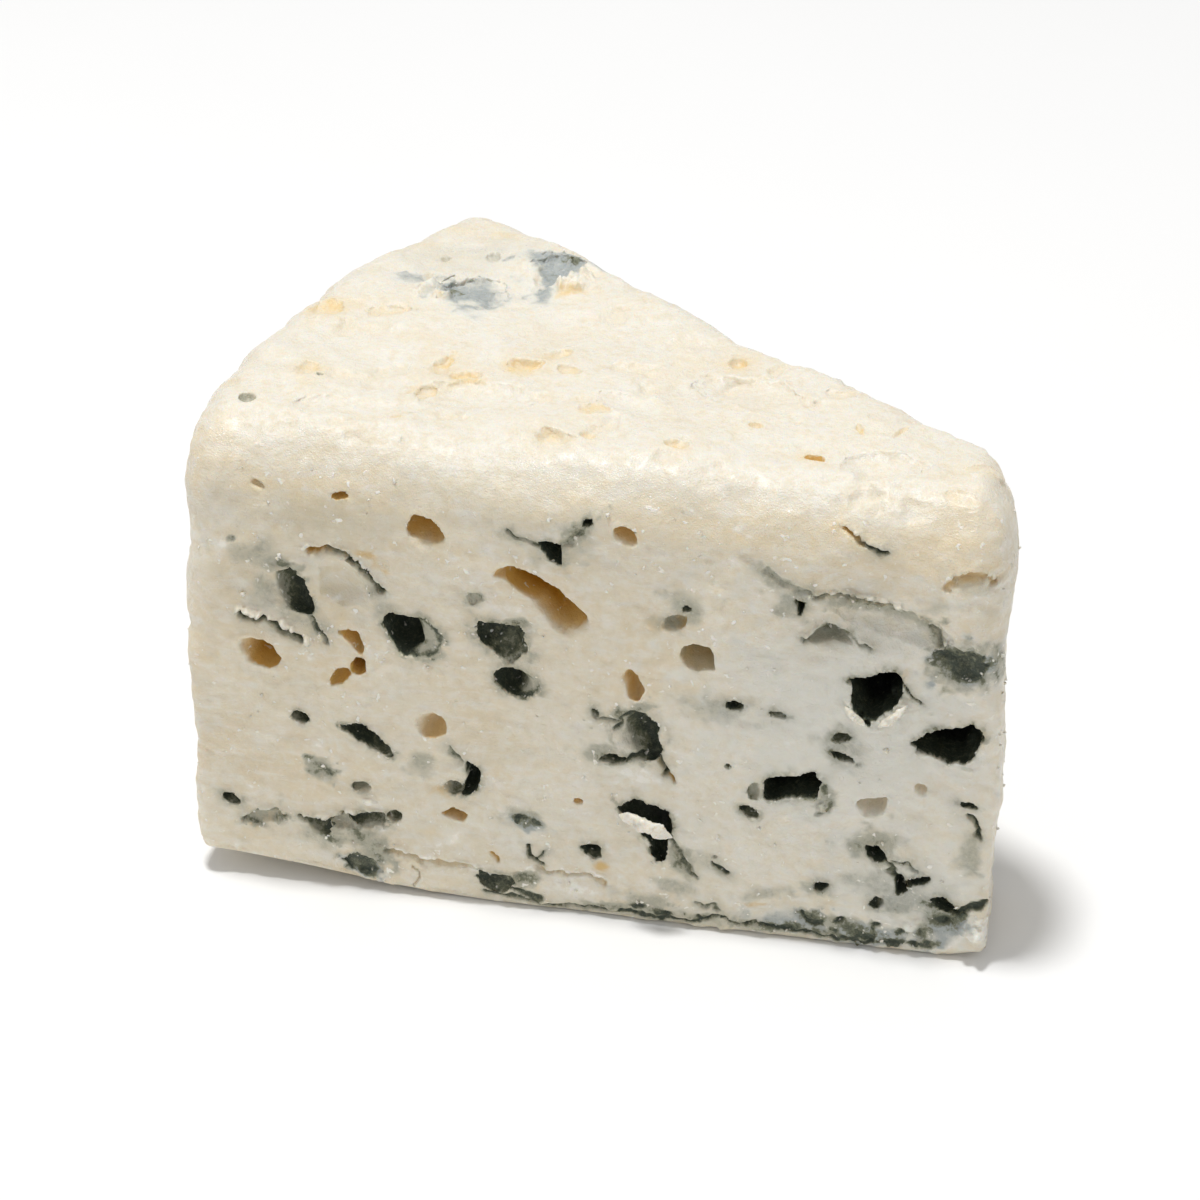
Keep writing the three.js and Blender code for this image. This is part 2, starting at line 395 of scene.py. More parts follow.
def oval(long, short, tilt=0.0, corners=14):
    """Outline of an ellipse, turned anticlockwise by tilt degrees."""
    turn = math.radians(tilt)
    angle = np.linspace(0, 2 * math.pi, corners, endpoint=False)
    a, b = long * np.cos(angle), short * np.sin(angle)
    return list(zip(a * math.cos(turn) - b * math.sin(turn), a * math.sin(turn) + b * math.cos(turn)))


def marks(*rows):
    """Marks from rows of u, v, half length, half width, tilt, kind and strength."""
    return [Mark((u, v), *rest) for u, v, *rest in rows]


def mouldy(at, rim, deep, **changes):
    """An eye whose walls mould covers."""
    eye = Eye(at, rim, deep, belly=0.2, ragged=0.17, mould=1, light=(-90, 0.3), halo=0.9, ring=0.3)
    return eye._replace(**changes)


def clean(at, rim, deep, **changes):
    """An eye with bare, amber walls."""
    return Eye(at, rim, deep, belly=0.1, ragged=0.1, amber=1)._replace(**changes)


def dimple(at, rim, deep, **changes):
    """A shallow hollow of the paste itself."""
    return Eye(at, rim, deep, belly=-0.3, ragged=0.12)._replace(**changes)


FRONT_EYES = [
    # Pale hollows, which later eyes cut into
    dimple((-23.1, 33.4), [(-2.1, 3.3), (-0.4, 4), (1.3, 3.1), (2.5, 0.6), (2.2, -2.6), (0.6, -4.4),
        (-1.4, -4), (-2.1, -1)], 1.2, light=(-95, 1.2), ragged=0.06),
    dimple((29, 36.2), [(-6.6, 1.2), (-4, 2.2), (1, 2.2), (4.2, 0.9), (5.4, -2), (2, -3.6), (-3, -2.6)],
        1.3, mould=0.03, light=(-100, 1.1)),
    dimple((23, 34.4), [(-2.9, -0.8), (-2.1, -0.1), (-0.5, 1.3), (0.8, 0.7), (2.8, -0.7), (1.4, -1.5),
        (0, -1.6), (-1.4, -1.5)], 2.2, mould=0.62, light=(-80, 1.1), belly=0.3),
    dimple((35.2, 41.8), [(-1.9, -0.6), (-1.3, 0.7), (0, 1.4), (1.2, 0.9), (2, -0.2), (1, -1.4),
        (-1, -1.4)], 0.6, mould=0.04, light=(-90, 1.1), ragged=0.3),
    dimple((34.9, 32.6), [(-2.7, 1.5), (-1.4, 2.6), (0.4, 2.5), (1.8, 1.5), (2.5, 0.2), (2, -1.7),
        (0.2, -2.4), (-1.9, -1.8)], 0.8, mould=0.4, light=(-90, 1), ragged=0.2),
    # Clean pockets
    clean((-3.7, 35.5), [(-4.2, 2), (-3.1, 3.2), (-1.8, 2.8), (-0.2, 2), (1.3, 1.3), (2, 0.4), (4.4, -1.9),
        (3.6, -3.4), (2.7, -4.6), (1.1, -3.7), (-0.3, -1.8), (-1.5, -0.1)], 5.5, light=(-105, 0.7),
        ragged=0.05, belly=0.2, amber=1.1),
    clean((-7.3, 37.7), [(-1.5, -0.2), (-0.7, 0.7), (0.8, 1.1), (1.6, 0), (1.8, -1.2), (0.6, -0.9)], 1.3,
        light=(-90, 0.7), amber=0.75),
    clean((-14.8, 41.2), [(-2.2, 0.4), (-1.6, 1.4), (-0.8, 1.7), (0.4, 1.3), (1.1, 0.8), (2.3, -0.9),
        (1.6, -2.3), (-0.9, -2.1)], 3.2, light=(-85, 1), belly=0.3, amber=1.15),
    clean((-31.4, 26.4), oval(2.4, 1.4, -28), 3.4, light=(150, 0.7)),
    clean((-22.2, 28.7), [(-1.6, 0.7), (-0.6, 1.3), (0.5, 1.1), (0.8, 0.1), (1.1, -0.7), (0.9, -1.9),
        (0.2, -1.3), (-0.4, -0.5), (-1.2, 0.3)], 2.2, light=(-120, 0.4), amber=0.95, ragged=0.16),
    clean((-23.6, 24.6), [(-1.2, -0.6), (-0.3, 0.8), (0.9, 1.2), (1.2, 0.5), (0.2, -0.8), (-0.9, -1.2)],
        1.8, light=(-120, 0.3)),
    clean((-21.8, 25.9), [(-0.7, 0.3), (-0.1, 1.1), (0.7, 0.9), (0.75, -0.5), (0, -1), (-0.7, -0.6)], 3.8,
        light=(-90, 0), amber=1.2),
    clean((-15, 20.1), oval(1.65, 1.45), 2.2, belly=-0.2, amber=0.6, light=(150, 0.7)),
    clean((-13, 9.9), [(-1.3, 0.1), (0, 1), (1.3, 0.3), (1.1, -0.8), (0, -0.6)], 2.2, amber=0.9,
        light=(-90, 0.7)),
    clean((-0.7, 13.4), oval(0.5, 0.45), 1, amber=0.9),
    clean((3.7, 43), oval(1.3, 0.95, -35), 2, amber=0.8, light=(-110, 0.8)),
    clean((10.7, 30.9), [(-1.8, 0), (-1.5, 1), (-0.7, 1.5), (0.1, 1.6), (0.9, 1.4), (1.4, 0.7), (1.5, -0.3),
        (1.8, -1.3), (0.8, -1.2), (-0.3, -1.5), (-1.2, -0.9)], 3.4, belly=0, amber=0.8, mould=0.2,
        light=(-100, 0.4), ragged=0.1),
    clean((4.3, 27.3), [(-1.1, 1.2), (-0.1, 1.8), (0.6, 1.2), (1.3, -0.5), (0.7, -2), (-0.2, -1.5)], 2.2,
        light=(180, 0.8), amber=0.9),
    clean((8.3, 34.4), oval(1.5, 0.8, 32), 1.5, amber=0.75, light=(-120, 0.7), ragged=0.14),
    clean((27.3, 16.5), [(-1.6, 0.3), (-1.1, 0.9), (1.3, 1.2), (1.2, -0.8), (-0.8, -1.3)], 2.2, amber=0.7,
        light=(-90, 0.7)),
    clean((31.7, 18.7), oval(0.6, 0.8, 30), 1, amber=0.6, light=(-90, 0.8)),
    clean((37.8, 41.6), oval(1.2, 0.6, 20), 0.4, belly=-0.3, amber=0.25, light=(-60, 1), ragged=0.3),
    clean((-23, 44.1), oval(0.8, 0.35, 12), 1.4, light=(-90, 0)),
    clean((-30.8, 44.3), oval(0.9, 0.45, -30), 0.7, belly=-0.3, amber=0.4),
    # Black eyes
    mouldy((27, 29.1), [(-2.7, -0.4), (-2, 1), (-0.4, 1.5), (0.4, 2.3), (1.3, 2.3), (2.3, 1.9), (2.6, -0.3),
        (1.3, -1.7), (0.2, -3.3), (-0.8, -3.2), (-1.5, -1.6)], 8, belly=0.35, light=(0, 0), halo=0.8,
        lip=0.5),
    mouldy((33.8, 24.2), [(-3.2, -0.4), (-1.7, 1), (0, 1.6), (1.2, 2.2), (2.4, 2.2), (3.1, 1.4),
        (2.9, -0.5), (1.5, -2), (-0.6, -1.7), (-2.2, -1.4)], 7, belly=0.35, light=(0, 0), halo=0.8,
        lip=0.7),
    mouldy((19.7, 18), [(-2.7, 0.2), (-1.2, 0.9), (0.8, 1.3), (2, 2), (2.8, 0.9), (2.6, -0.9), (0.9, -1.1),
        (-0.6, -1.6), (-2.3, -2.2)], 7.5, belly=0.35, light=(0, 0), halo=1.3, ragged=0.09),
    mouldy((-7.9, 30.6), [(-2.8, 0.6), (-2.4, 1.9), (-1.1, 1.6), (0.2, 1.5), (2.1, 1.6), (2.3, -1),
        (1.7, -2.2), (0.8, -2.8), (-0.4, -1.8), (-1.6, -0.7)], 2.6, ragged=0.18, halo=1.4,
        light=(-60, 0.35), mould=0.88),
    mouldy((-6.6, 25.9), [(-2.1, 1), (-1.2, 1.7), (-0.1, 1.5), (1.1, 1), (2.1, 0.1), (2.3, -0.9),
        (1.3, -1.7), (0.1, -1.7), (-0.9, -1.3), (-1.8, -0.3)], 3.2, halo=0.9, light=(-10, 1), belly=0.25,
        ring=0.9, ragged=0.09),
    mouldy((-17.2, 30.2), [(-1.9, 1.1), (-1.1, 1.8), (0.4, 1.4), (1.5, 0.2), (1.7, -0.9), (0.6, -1.7),
        (-0.8, -1.4)], 3.2, halo=0.6, light=(0, 0), ragged=0.1),
    mouldy((-16.4, 29.8), [(-2.8, 1.5), (-2.1, 2.3), (-0.5, 2.1), (1.1, 1.9), (2.6, 1), (3.1, -0.6),
        (2.2, -1.9), (0.6, -2.4), (-1.2, -1.9), (-2.4, 0)], 1.9, belly=0.1, halo=0.9, light=(-10, 1.1),
        ring=0.9, ragged=0.08),
    mouldy((-28.4, 33.3), [(-2.2, 1.1), (-1.3, 2.2), (0.2, 2.6), (1.5, 1.9), (2.3, 0.3), (2.5, -2),
        (1.5, -2.5), (0.2, -1.9), (-1.7, -1.1)], 3, halo=0.9, light=(190, 1.1), belly=0.15, mould=1.15,
        ring=0.1, ragged=0.1),
    mouldy((-3.1, 40.7), [(-1.3, 0.9), (-0.4, 1.2), (0.7, 0.9), (1, -0.2), (1, -1.5), (-0.2, -0.8)], 3,
        light=(0, 0)),
    mouldy((0.3, 44.1), oval(0.5, 0.35, 30), 1.4, light=(0, 0)),
    mouldy((-21.1, 17.8), [(-2.6, 1.3), (-1.1, 1.8), (0.8, 0.9), (2.6, -1.1), (2.1, -1.9), (0.2, -0.9),
        (-1.4, 0.1)], 2.4, ragged=0.16, light=(-60, 0.3)),
    mouldy((-27.8, 19.3), oval(1, 0.75, -5), 2.6, halo=0.3, light=(-150, 0.4), amber=0.5),
    mouldy((-11.2, 14.3), [(-0.5, 2.5), (0.2, 1.8), (1, 1.1), (0.9, -0.2), (0.1, -1.6), (-1.1, -2),
        (-0.7, -0.7), (-0.35, 0.2)], 3.4, light=(0, 0), ragged=0.1),
    mouldy((-13, 13), oval(1.2, 0.8, -8), 1.4, light=(160, 0.7), mould=0.5, amber=0.9, halo=0.4),
    mouldy((5, 21.2), [(-2.6, 1.4), (-0.9, 2.7), (0.5, 2.8), (1.9, 2.2), (2.3, -0.3), (2.3, -2.6),
        (1, -2.2), (-0.4, -2.6), (-1.6, -2.1), (-2.1, -0.3)], 2.8, halo=1, light=(200, 1.1), belly=0.15,
        ring=0.35),
    mouldy((2.7, 18.6), oval(1.5, 0.5, 8), 1, ragged=0.2, light=(-90, 0.8), mould=0.8, halo=1),
    mouldy((6.6, 11.4), [(-3.3, 1.2), (-3, 2.2), (-1.9, 2.7), (-0.4, 2.5), (1.3, 1.8), (1.6, 0.9),
        (1.7, -0.9), (1.4, -2.4), (1.2, -4.1), (0.3, -4.4), (-0.4, -2.4), (-1.3, -0.9), (-2.4, 0.1)], 4.4,
        halo=0.8, light=(0, 0), belly=0.35),
    mouldy((0.4, 7.6), [(-1, 0.6), (0, 0.9), (1, 0.7), (1.3, -0.9), (0.2, -1), (-0.6, -0.3)], 2.6,
        light=(-50, 0.4), halo=0.7),
    mouldy((27.8, 11.1), [(-1.2, 0.8), (0.2, 1), (0.9, 0.1), (1.3, -0.6), (0, -0.8), (-0.8, -0.4)], 3,
        light=(0, 0), halo=1),
    mouldy((30.3, 7.9), [(-0.6, 0.7), (0, 1), (0.6, 0.4), (0.7, -0.8), (-0.3, -1)], 2.8, light=(0, 0),
        halo=0.7),
    mouldy((32, 8.6), oval(1.3, 0.4, 18), 2, ragged=0.2, light=(0, 0), halo=0.7),
    mouldy((34.4, 6.3), [(-1.3, 0.6), (0, 0.8), (1, 0), (1.5, -1.1), (0.3, -0.9), (-0.7, -0.3)], 2.4,
        ragged=0.2, light=(0, 0), halo=1.1),
    mouldy((19.9, 37.3), [(-0.6, 0.9), (0.5, 0.6), (0.3, -0.3), (-0.1, -1.1)], 2.6, light=(0, 0), halo=0.7),
    # Small ones
    mouldy((-35.2, 8.8), oval(1, 0.6, -25), 1.6, ragged=0.2, amber=0.4),
    mouldy((-21.9, 12.1), oval(1.1, 0.7), 1.4, mould=0.55, amber=0.5, light=(-60, 0.8)),
    mouldy((-18.8, 9), oval(0.8, 0.7, 15), 1.4, mould=0.65, amber=0.4, halo=0.5),
    mouldy((-10.6, 34.8), oval(0.6, 0.7), 0.4, mould=0.45, ragged=0.4, halo=0.8),
    mouldy((14.1, 26), oval(0.9, 0.5, -5), 1.8, ragged=0.2, light=(0, 0.3)),
    mouldy((18.1, 25.4), oval(0.8, 0.35, -10), 1, mould=0.6),
    mouldy((1, 23.6), oval(0.55, 0.25, -70), 0.8, mould=0.8),
    mouldy((24.2, 23.9), oval(0.8, 0.5, 10), 1.4, mould=0.75, ragged=0.2, amber=0.4),
    mouldy((24.6, 21.7), oval(1.3, 0.4, -18), 1.8, ragged=0.2),
    mouldy((15.8, 14.6), oval(1, 0.6, -30), 1.4, mould=0.85, ragged=0.2),
    mouldy((16.2, 16.8), oval(0.8, 1), 0.8, mould=0.45, light=(0, 0.6), halo=0.6),
    mouldy((36.2, 17.6), oval(0.9, 0.35, 5), 1.4, ragged=0.2, light=(0, 0)),
    mouldy((28.4, 5.7), [(-1, -0.3), (-0.4, 0.7), (0.7, 0.4), (1, -0.5), (-0.2, -0.8)], 1.4, mould=0.85,
        light=(-10, 1), halo=0.7),
    mouldy((22.7, 6.8), oval(0.8, 0.5, 25), 1.6, ragged=0.2),
    mouldy((13.6, 19.3), oval(0.25, 0.25), 0.6, halo=0.1, mould=0.7),
    mouldy((9.5, 36), oval(0.4, 0.35), 0.9, mould=0.75, halo=0.5),
    # Ledges of creeping mould near the foot
    mouldy((-32, 6.9), [(-2.4, -0.6), (-1.4, 0.4), (0.2, 0.9), (1.9, 1.2), (2.2, 0.3), (0.8, -0.7),
        (-0.4, -1), (-1.6, -1.2)], 0.7, mould=0.3, ragged=0.35, light=(-75, 1.1), halo=0.7, amber=0.5,
        belly=-0.2),
    mouldy((-26.9, 6.9), [(-1.4, 1.1), (-0.3, 0.9), (1, 0.7), (1.6, 0.3), (1.2, -0.7), (0.2, -0.7),
        (-0.8, -0.1)], 1.3, mould=0.8, ragged=0.35, light=(-120, 0.8), halo=0.8, amber=0.5),
    mouldy((-24.2, 7.3), [(-1.4, 0.1), (-0.6, 1.1), (0.6, 1.1), (1.4, 0.2), (0.7, -0.9), (-0.8, -1)], 1,
        mould=0.36, ragged=0.2, light=(-90, 1), halo=0.6, tan=0.4),
    mouldy((-21.8, 8), [(-1.6, 0.4), (-0.4, 0.9), (1, 0.8), (2.4, 0.5), (1.6, -0.3), (0.4, -0.9),
        (-0.8, -1.2)], 1.7, mould=0.95, ragged=0.35, light=(-70, 0.7), halo=0.9, belly=0.3),
    mouldy((-22, 2.6), oval(2, 1.1, -15), 0.5, mould=0.55, ragged=0.4, light=(-90, 1), halo=0.9),
    mouldy((-8.9, 2.9), [(-1.8, 1.2), (-0.6, 0.9), (1.6, 0.9), (1.9, -0.7), (0.2, -1.4), (-1.6, -0.6)], 1.2,
        mould=0.9, ragged=0.25, light=(-90, 0.3), halo=0.8),
]

FRONT_MARKS = marks(
    # Cool tint where veins run close under the cut
    (25, 24, 17, 15, 0, "blue", 0.36), (26, 24, 18, 14, 0, "chalk", 0.55), (4, 12, 16, 9, 0, "chalk", 0.25),
    (-4, 28, 22, 14, 0, "tan", 0.12), (14, 9, 22, 9, 0, "blue", 0.14), (-8, 8, 14, 7, 0, "haze", 0.14),
    (3, 20, 9, 7, 20, "blue", 0.18), (31, 7, 9, 6, 0, "blue", 0.4), (-19, 20, 12, 8, 0, "blue", 0.08),
    (-25, 41.6, 11, 3, -4, "haze", 0.26), (-6, 43.5, 10, 2.4, 0, "haze", 0.2),
    (-29, 34, 7, 6, 0, "haze", 0.22),
    # Grey veils
    (-31, 37, 3.4, 1.7, -10, "haze", 0.75), (-27, 30.6, 4.6, 1.8, -25, "haze", 0.6),
    (-33.5, 38.6, 0.6, 0.5, 0, "mould", 0.5), (-28.6, 36.4, 1.8, 0.6, -15, "mould", 0.5),
    (-20.3, 34, 1.3, 1.4, -40, "haze", 0.81), (-18.9, 31.6, 1.8, 1.4, -30, "haze", 0.68),
    (-6.4, 41.8, 2.2, 0.8, -22, "haze", 0.94), (-1, 42.4, 2.8, 0.9, 40, "mould", 0.46),
    (-1.8, 41.4, 4, 1.8, 25, "haze", 0.59), (-6.6, 32.4, 2.4, 0.9, 5, "mould", 0.5),
    (-10.6, 34.6, 1.3, 1.2, 20, "haze", 1), (-26.1, 14, 1.8, 1.5, -20, "mould", 0.44),
    (-25.2, 13.4, 1.2, 0.8, -30, "mould", 0.6), (-27, 14.9, 0.7, 0.4, 0, "mould", 0.6),
    (-15.9, 15.5, 1.4, 2.2, 10, "haze", 0.77), (-6, 10.8, 2.4, 1.2, -8, "haze", 1.02),
    (-6.4, 10.8, 1.4, 0.5, -8, "mould", 0.7), (-4.8, 10.4, 0.8, 0.3, -20, "mould", 0.7),
    (-6, 10.4, 2.2, 1.1, -8, "blue", 1), (-25, 6, 5, 2, 0, "haze", 0.7),
    (-21.2, 5.2, 2.8, 1.5, -60, "haze", 1.1), (-25.6, 5.8, 1.6, 0.6, -20, "mould", 0.55),
    (-22.4, 6.2, 1.5, 0.6, -40, "mould", 0.62), (-20.6, 7.4, 1, 0.6, 0, "chalk", 1),
    (-22.2, 2.5, 2.2, 1.2, -10, "blue", 1.1), (-21.4, 2, 1.1, 0.6, -20, "mould", 0.7),
    (-23.4, 2.4, 0.8, 0.5, 10, "mould", 0.62), (-20.5, 3.9, 1.2, 0.6, -50, "mould", 0.5),
    (-30.6, 7.4, 1.2, 0.4, 20, "mould", 0.5), (-33.2, 6.2, 1, 0.4, -30, "amber", 0.5),
    (-6.5, 3.6, 2.6, 1, 12, "mould", 0.5), (9.4, 36, 2.3, 1.7, -20, "haze", 0.9),
    (7.6, 34.4, 1.8, 1, 10, "haze", 0.8), (4, 24, 2.8, 0.8, 25, "mould", 0.5),
    (1.9, 19, 2.4, 1.2, -10, "mould", 0.42), (12.6, 25.6, 3.6, 1.6, 0, "haze", 0.64),
    (17, 40.2, 3.2, 0.8, -30, "haze", 0.8), (19.4, 38, 2.6, 2, -40, "haze", 1),
    (25.2, 37.9, 3.8, 0.8, -2, "haze", 1.1), (28.8, 37.2, 3, 0.8, -14, "haze", 1.2),
    (31.4, 35.9, 1.9, 0.7, -45, "haze", 1.2), (32, 38.8, 3, 0.6, 15, "haze", 0.45),
    (23.2, 35, 2, 0.6, 0, "mould", 0.66), (34.9, 42.1, 1.6, 0.6, 0, "amber", 0.5),
    # The mould just under the ridge's lip at (27.4, 37.8) is partly painted shadow under the lip
    (35.4, 41.2, 2, 0.8, 0, "haze", 0.4), (27.4, 37.8, 4.6, 0.8, -3, "mould", 0.48),
    (-30.6, 7.2, 1.4, 0.5, 20, "mould", 0.56), (-32.8, 6.4, 1.3, 0.5, -20, "mould", 0.5),
    (-30.6, 33.6, 1.6, 2.2, 0, "haze", 0.7), (35, 32.8, 3.2, 2.4, -10, "mould", 0.44),
    (35.2, 32.8, 3, 2.2, -10, "blue", 1.1), (35, 32.8, 3.4, 2.6, -10, "haze", 0.85),
    (35.7, 32.2, 1.7, 0.8, -15, "mould", 0.74), (33.6, 33.6, 1.2, 0.6, 10, "mould", 0.6),
    (35.6, 33.9, 0.8, 0.4, 30, "mould", 0.62), (34.2, 31.6, 0.9, 0.4, -30, "mould", 0.6),
    (36.8, 33.2, 0.5, 0.4, 0, "mould", 0.7), (37.9, 33.6, 1, 0.6, 0, "haze", 0.9),
    (24, 22.4, 2.2, 1.6, 0, "haze", 0.6), (23, 16.9, 1.1, 1.9, 0, "mould", 0.36),
    (22.8, 18.2, 0.5, 0.9, 10, "mould", 0.66), (23.3, 16, 0.4, 1, -20, "mould", 0.62),
    (22.4, 15.2, 0.8, 0.4, 30, "mould", 0.6), (27.4, 12.2, 2.6, 1.5, 15, "mould", 0.42),
    (27.4, 12.2, 2.8, 1.7, 15, "haze", 1.02), (31, 6.6, 5.6, 2.6, -10, "haze", 0.6),
    (34.4, 4.6, 2.4, 1.1, 8, "mould", 0.55), (34.8, 4.3, 1, 0.5, 0, "mould", 0.8),
    (32.6, 2.9, 1.4, 0.7, 55, "mould", 0.6), (32, 1.3, 1.1, 0.5, 0, "mould", 0.95),
    (28.2, 3.1, 0.8, 0.4, 10, "mould", 0.95), (27.1, 1.5, 1.2, 0.6, 0, "mould", 0.9),
    (25.4, 2.6, 3.2, 1.2, -10, "mould", 0.4), (24.7, 3.1, 0.8, 0.5, 20, "mould", 0.85),
    (21.7, 3, 1.8, 0.9, -15, "mould", 0.6), (22.4, 6.4, 1.9, 1, 0, "haze", 1),
    (30.2, 5.4, 1.8, 1.2, 0, "haze", 0.85), (36.6, 12.6, 1.4, 2.4, 0, "haze", 0.8),
    (9.2, 7.8, 2.8, 1.3, -60, "mould", 0.46), (12.6, 7.6, 2.2, 1, -30, "haze", 0.7),
    (9, 4.6, 2.2, 1, -10, "haze", 0.8), (17, 5, 3.4, 0.8, 15, "haze", 0.7),
    # Mould that creeps along the foot of the wedge
    (5.2, 1.9, 1, 0.6, 0, "mould", 0.95), (7.6, 1.5, 1.8, 0.6, 0, "mould", 0.72),
    (6, 2.7, 3.4, 1.2, 0, "haze", 0.8), (2.4, 1.4, 2.8, 0.6, 4, "mould", 0.45),
    (11.6, 1.6, 2.4, 0.5, 8, "mould", 0.48), (15.8, 1.4, 3, 0.5, 2, "mould", 0.5),
    (19.4, 1.4, 2.2, 0.6, 6, "mould", 0.58), (23.6, 1.2, 3, 0.6, 2, "mould", 0.52),
    (12, 1.4, 14, 1.2, 1, "haze", 0.6), (28, 1.8, 6, 1.6, 1, "blue", 0.8),
    (20, 2.2, 5, 1.4, -4, "blue", 0.7), (35, 3.6, 3.4, 1.8, 10, "blue", 0.9),
    (26, 0.9, 1.2, 0.5, 0, "mould", 0.95), (29.6, 1.2, 1.4, 0.5, 8, "mould", 0.85),
    (33.4, 1.4, 1.2, 0.6, 20, "mould", 0.75), (24.2, 1.8, 0.9, 0.4, -20, "mould", 0.8),
    (30.4, 2.6, 0.8, 0.5, 30, "mould", 0.7), (33.6, 6.2, 1.2, 0.6, 10, "mould", 0.8),
    (36.2, 5.2, 0.9, 0.5, 20, "mould", 0.75), (29.2, 4, 1, 0.6, -20, "chalk", 1.1),
    (33.2, 3.6, 1.2, 0.7, 15, "chalk", 1.1), (36.4, 2.6, 1.4, 0.8, 10, "chalk", 1.1),
    (25.4, 3.8, 1.6, 0.6, 5, "chalk", 1), (22.8, 2, 1, 0.4, 0, "chalk", 1),
    (19, 2.2, 1.6, 0.5, 5, "chalk", 0.9),
    # Tan and orange smudges
    (-30.8, 44.6, 2, 1.2, 0, "tan", 0.4), (-24, 42.6, 16, 4, -3, "tan", 0.34),
    (8, 44.4, 18, 3.2, -2, "tan", 0.26), (31, 44.6, 11, 3.4, 0, "tan", 0.34),
    (-30, 26, 9, 22, 0, "tan", 0.16), (-29, 40, 3.6, 1.4, -20, "tan", 0.22),
    (-20.6, 38.2, 1.8, 0.5, -12, "amber", 0.6), (-18.9, 36.4, 1.4, 0.4, -50, "amber", 0.5),
    (13.9, 43.7, 1.2, 0.8, -30, "tan", 0.7), (22.8, 45.6, 1.4, 1.1, 40, "tan", 0.6),
    (32.2, 42.2, 1.2, 0.7, 0, "tan", 0.6), (36.8, 42.9, 1.6, 0.8, 20, "tan", 0.6),
    (9.8, 17.4, 0.7, 1, 30, "tan", 0.5), (-14.2, 12.6, 1.3, 0.6, 0, "amber", 0.5),
    (-6, 3.8, 1.3, 0.5, 5, "amber", 0.9), (1.6, 5.9, 0.8, 0.6, -30, "amber", 0.9),
    (27.4, 5.2, 0.5, 0.7, 0, "amber", 0.8), (16, 3.7, 1.2, 0.3, 3, "amber", 0.8),
    (29.6, 31.2, 0.6, 0.8, 0, "amber", 0.6), (37, 25.2, 0.5, 0.8, 0, "amber", 0.7),
    (7, 34, 1.6, 0.9, 10, "amber", 0.4), (-23, 31, 1.8, 0.7, 25, "tan", 0.5),
    (-2, 29.6, 1.6, 1, 0, "tan", 0.25), (0, 45.5, 3.6, 0.9, 8, "tan", 0.22),
    (-33, 5, 4.6, 1.2, 0, "tan", 0.25), (-15.6, 7.8, 1.8, 0.8, 20, "tan", 0.35),
    # Chalky smears
    (-34.4, 41.6, 2.4, 2.2, 0, "chalk", 0.8), (-30.6, 32, 1.6, 2, 0, "chalk", 0.7),
    (-2.4, 43.2, 2.6, 0.9, 30, "chalk", 1), (-7.6, 34, 2.4, 1.1, -10, "chalk", 0.9),
    (30, 33.8, 3.4, 1.4, -10, "chalk", 0.6), (34.8, 35.3, 1.8, 0.4, -5, "chalk", 1),
    (35.6, 39.8, 1.6, 0.9, 0, "chalk", 0.7), (37.8, 44.4, 0.8, 0.7, 0, "chalk", 1),
    (5.2, 16.9, 3.6, 1.3, -8, "chalk", 1.1), (9.6, 16.6, 2.4, 1.8, -20, "chalk", 0.8),
    (-0.6, 2.8, 4, 1.2, 0, "chalk", 1), (-1.4, 4.2, 3.2, 0.6, 10, "chalk", 0.9),
    (7.6, 4.8, 2.6, 1, 10, "chalk", 0.8), (-6.8, 7.8, 2.6, 1.6, 30, "chalk", 0.7),
    (-12.8, 7.6, 2, 0.5, 45, "chalk", 1), (-6.6, 12.6, 2.6, 0.6, 50, "chalk", 0.7),
    (-14.6, 6.4, 1.4, 0.35, 40, "chalk", 1), (-21.4, 10.4, 0.9, 0.7, 0, "chalk", 1.1),
    (-25, 3.4, 3, 0.8, 0, "chalk", 0.5), (2.8, 15.9, 0.9, 0.5, 0, "chalk", 0.9),
    (37.4, 13.2, 0.7, 0.7, 0, "chalk", 1), (36.2, 12, 0.9, 0.7, 0, "chalk", 0.9),
    (34.2, 9.6, 1.4, 0.8, -20, "chalk", 0.7), (31.4, 3.4, 1.5, 0.7, 20, "chalk", 1),
    (27.8, 2.1, 1, 0.5, 0, "chalk", 1), (21.6, 5.9, 0.7, 0.4, 0, "chalk", 1),
    (34.6, 5, 0.6, 0.4, 0, "chalk", 0.9), (37.7, 3.5, 1.6, 1.4, 0, "lump", 1),
    (37.9, 3.4, 1.6, 1.4, 0, "chalk", 1.2), (25.2, 27.2, 1.3, 0.4, -42, "lump", 0.6),
    (28.9, 27, 1.5, 0.5, 42, "lump", 0.6), (22.8, 16, 0.8, 0.5, 20, "lump", 0.5),
    (31.6, 3.3, 1, 0.5, 20, "lump", 0.5), (27.8, 2.2, 0.9, 0.4, 0, "lump", 0.4),
    (35, 21.6, 1.4, 0.4, -20, "lump", 0.4), (-21.4, 10.5, 0.5, 0.4, 0, "lump", 0.4),
    (15.2, 26.1, 0.6, 0.35, 0, "chalk", 1), (22.4, 20, 2.6, 0.8, 20, "chalk", 0.4),
    (2, 3.2, 4, 1, -4, "chalk", 0.6), (14.6, 4.4, 3.6, 0.9, 8, "chalk", 0.5),
)

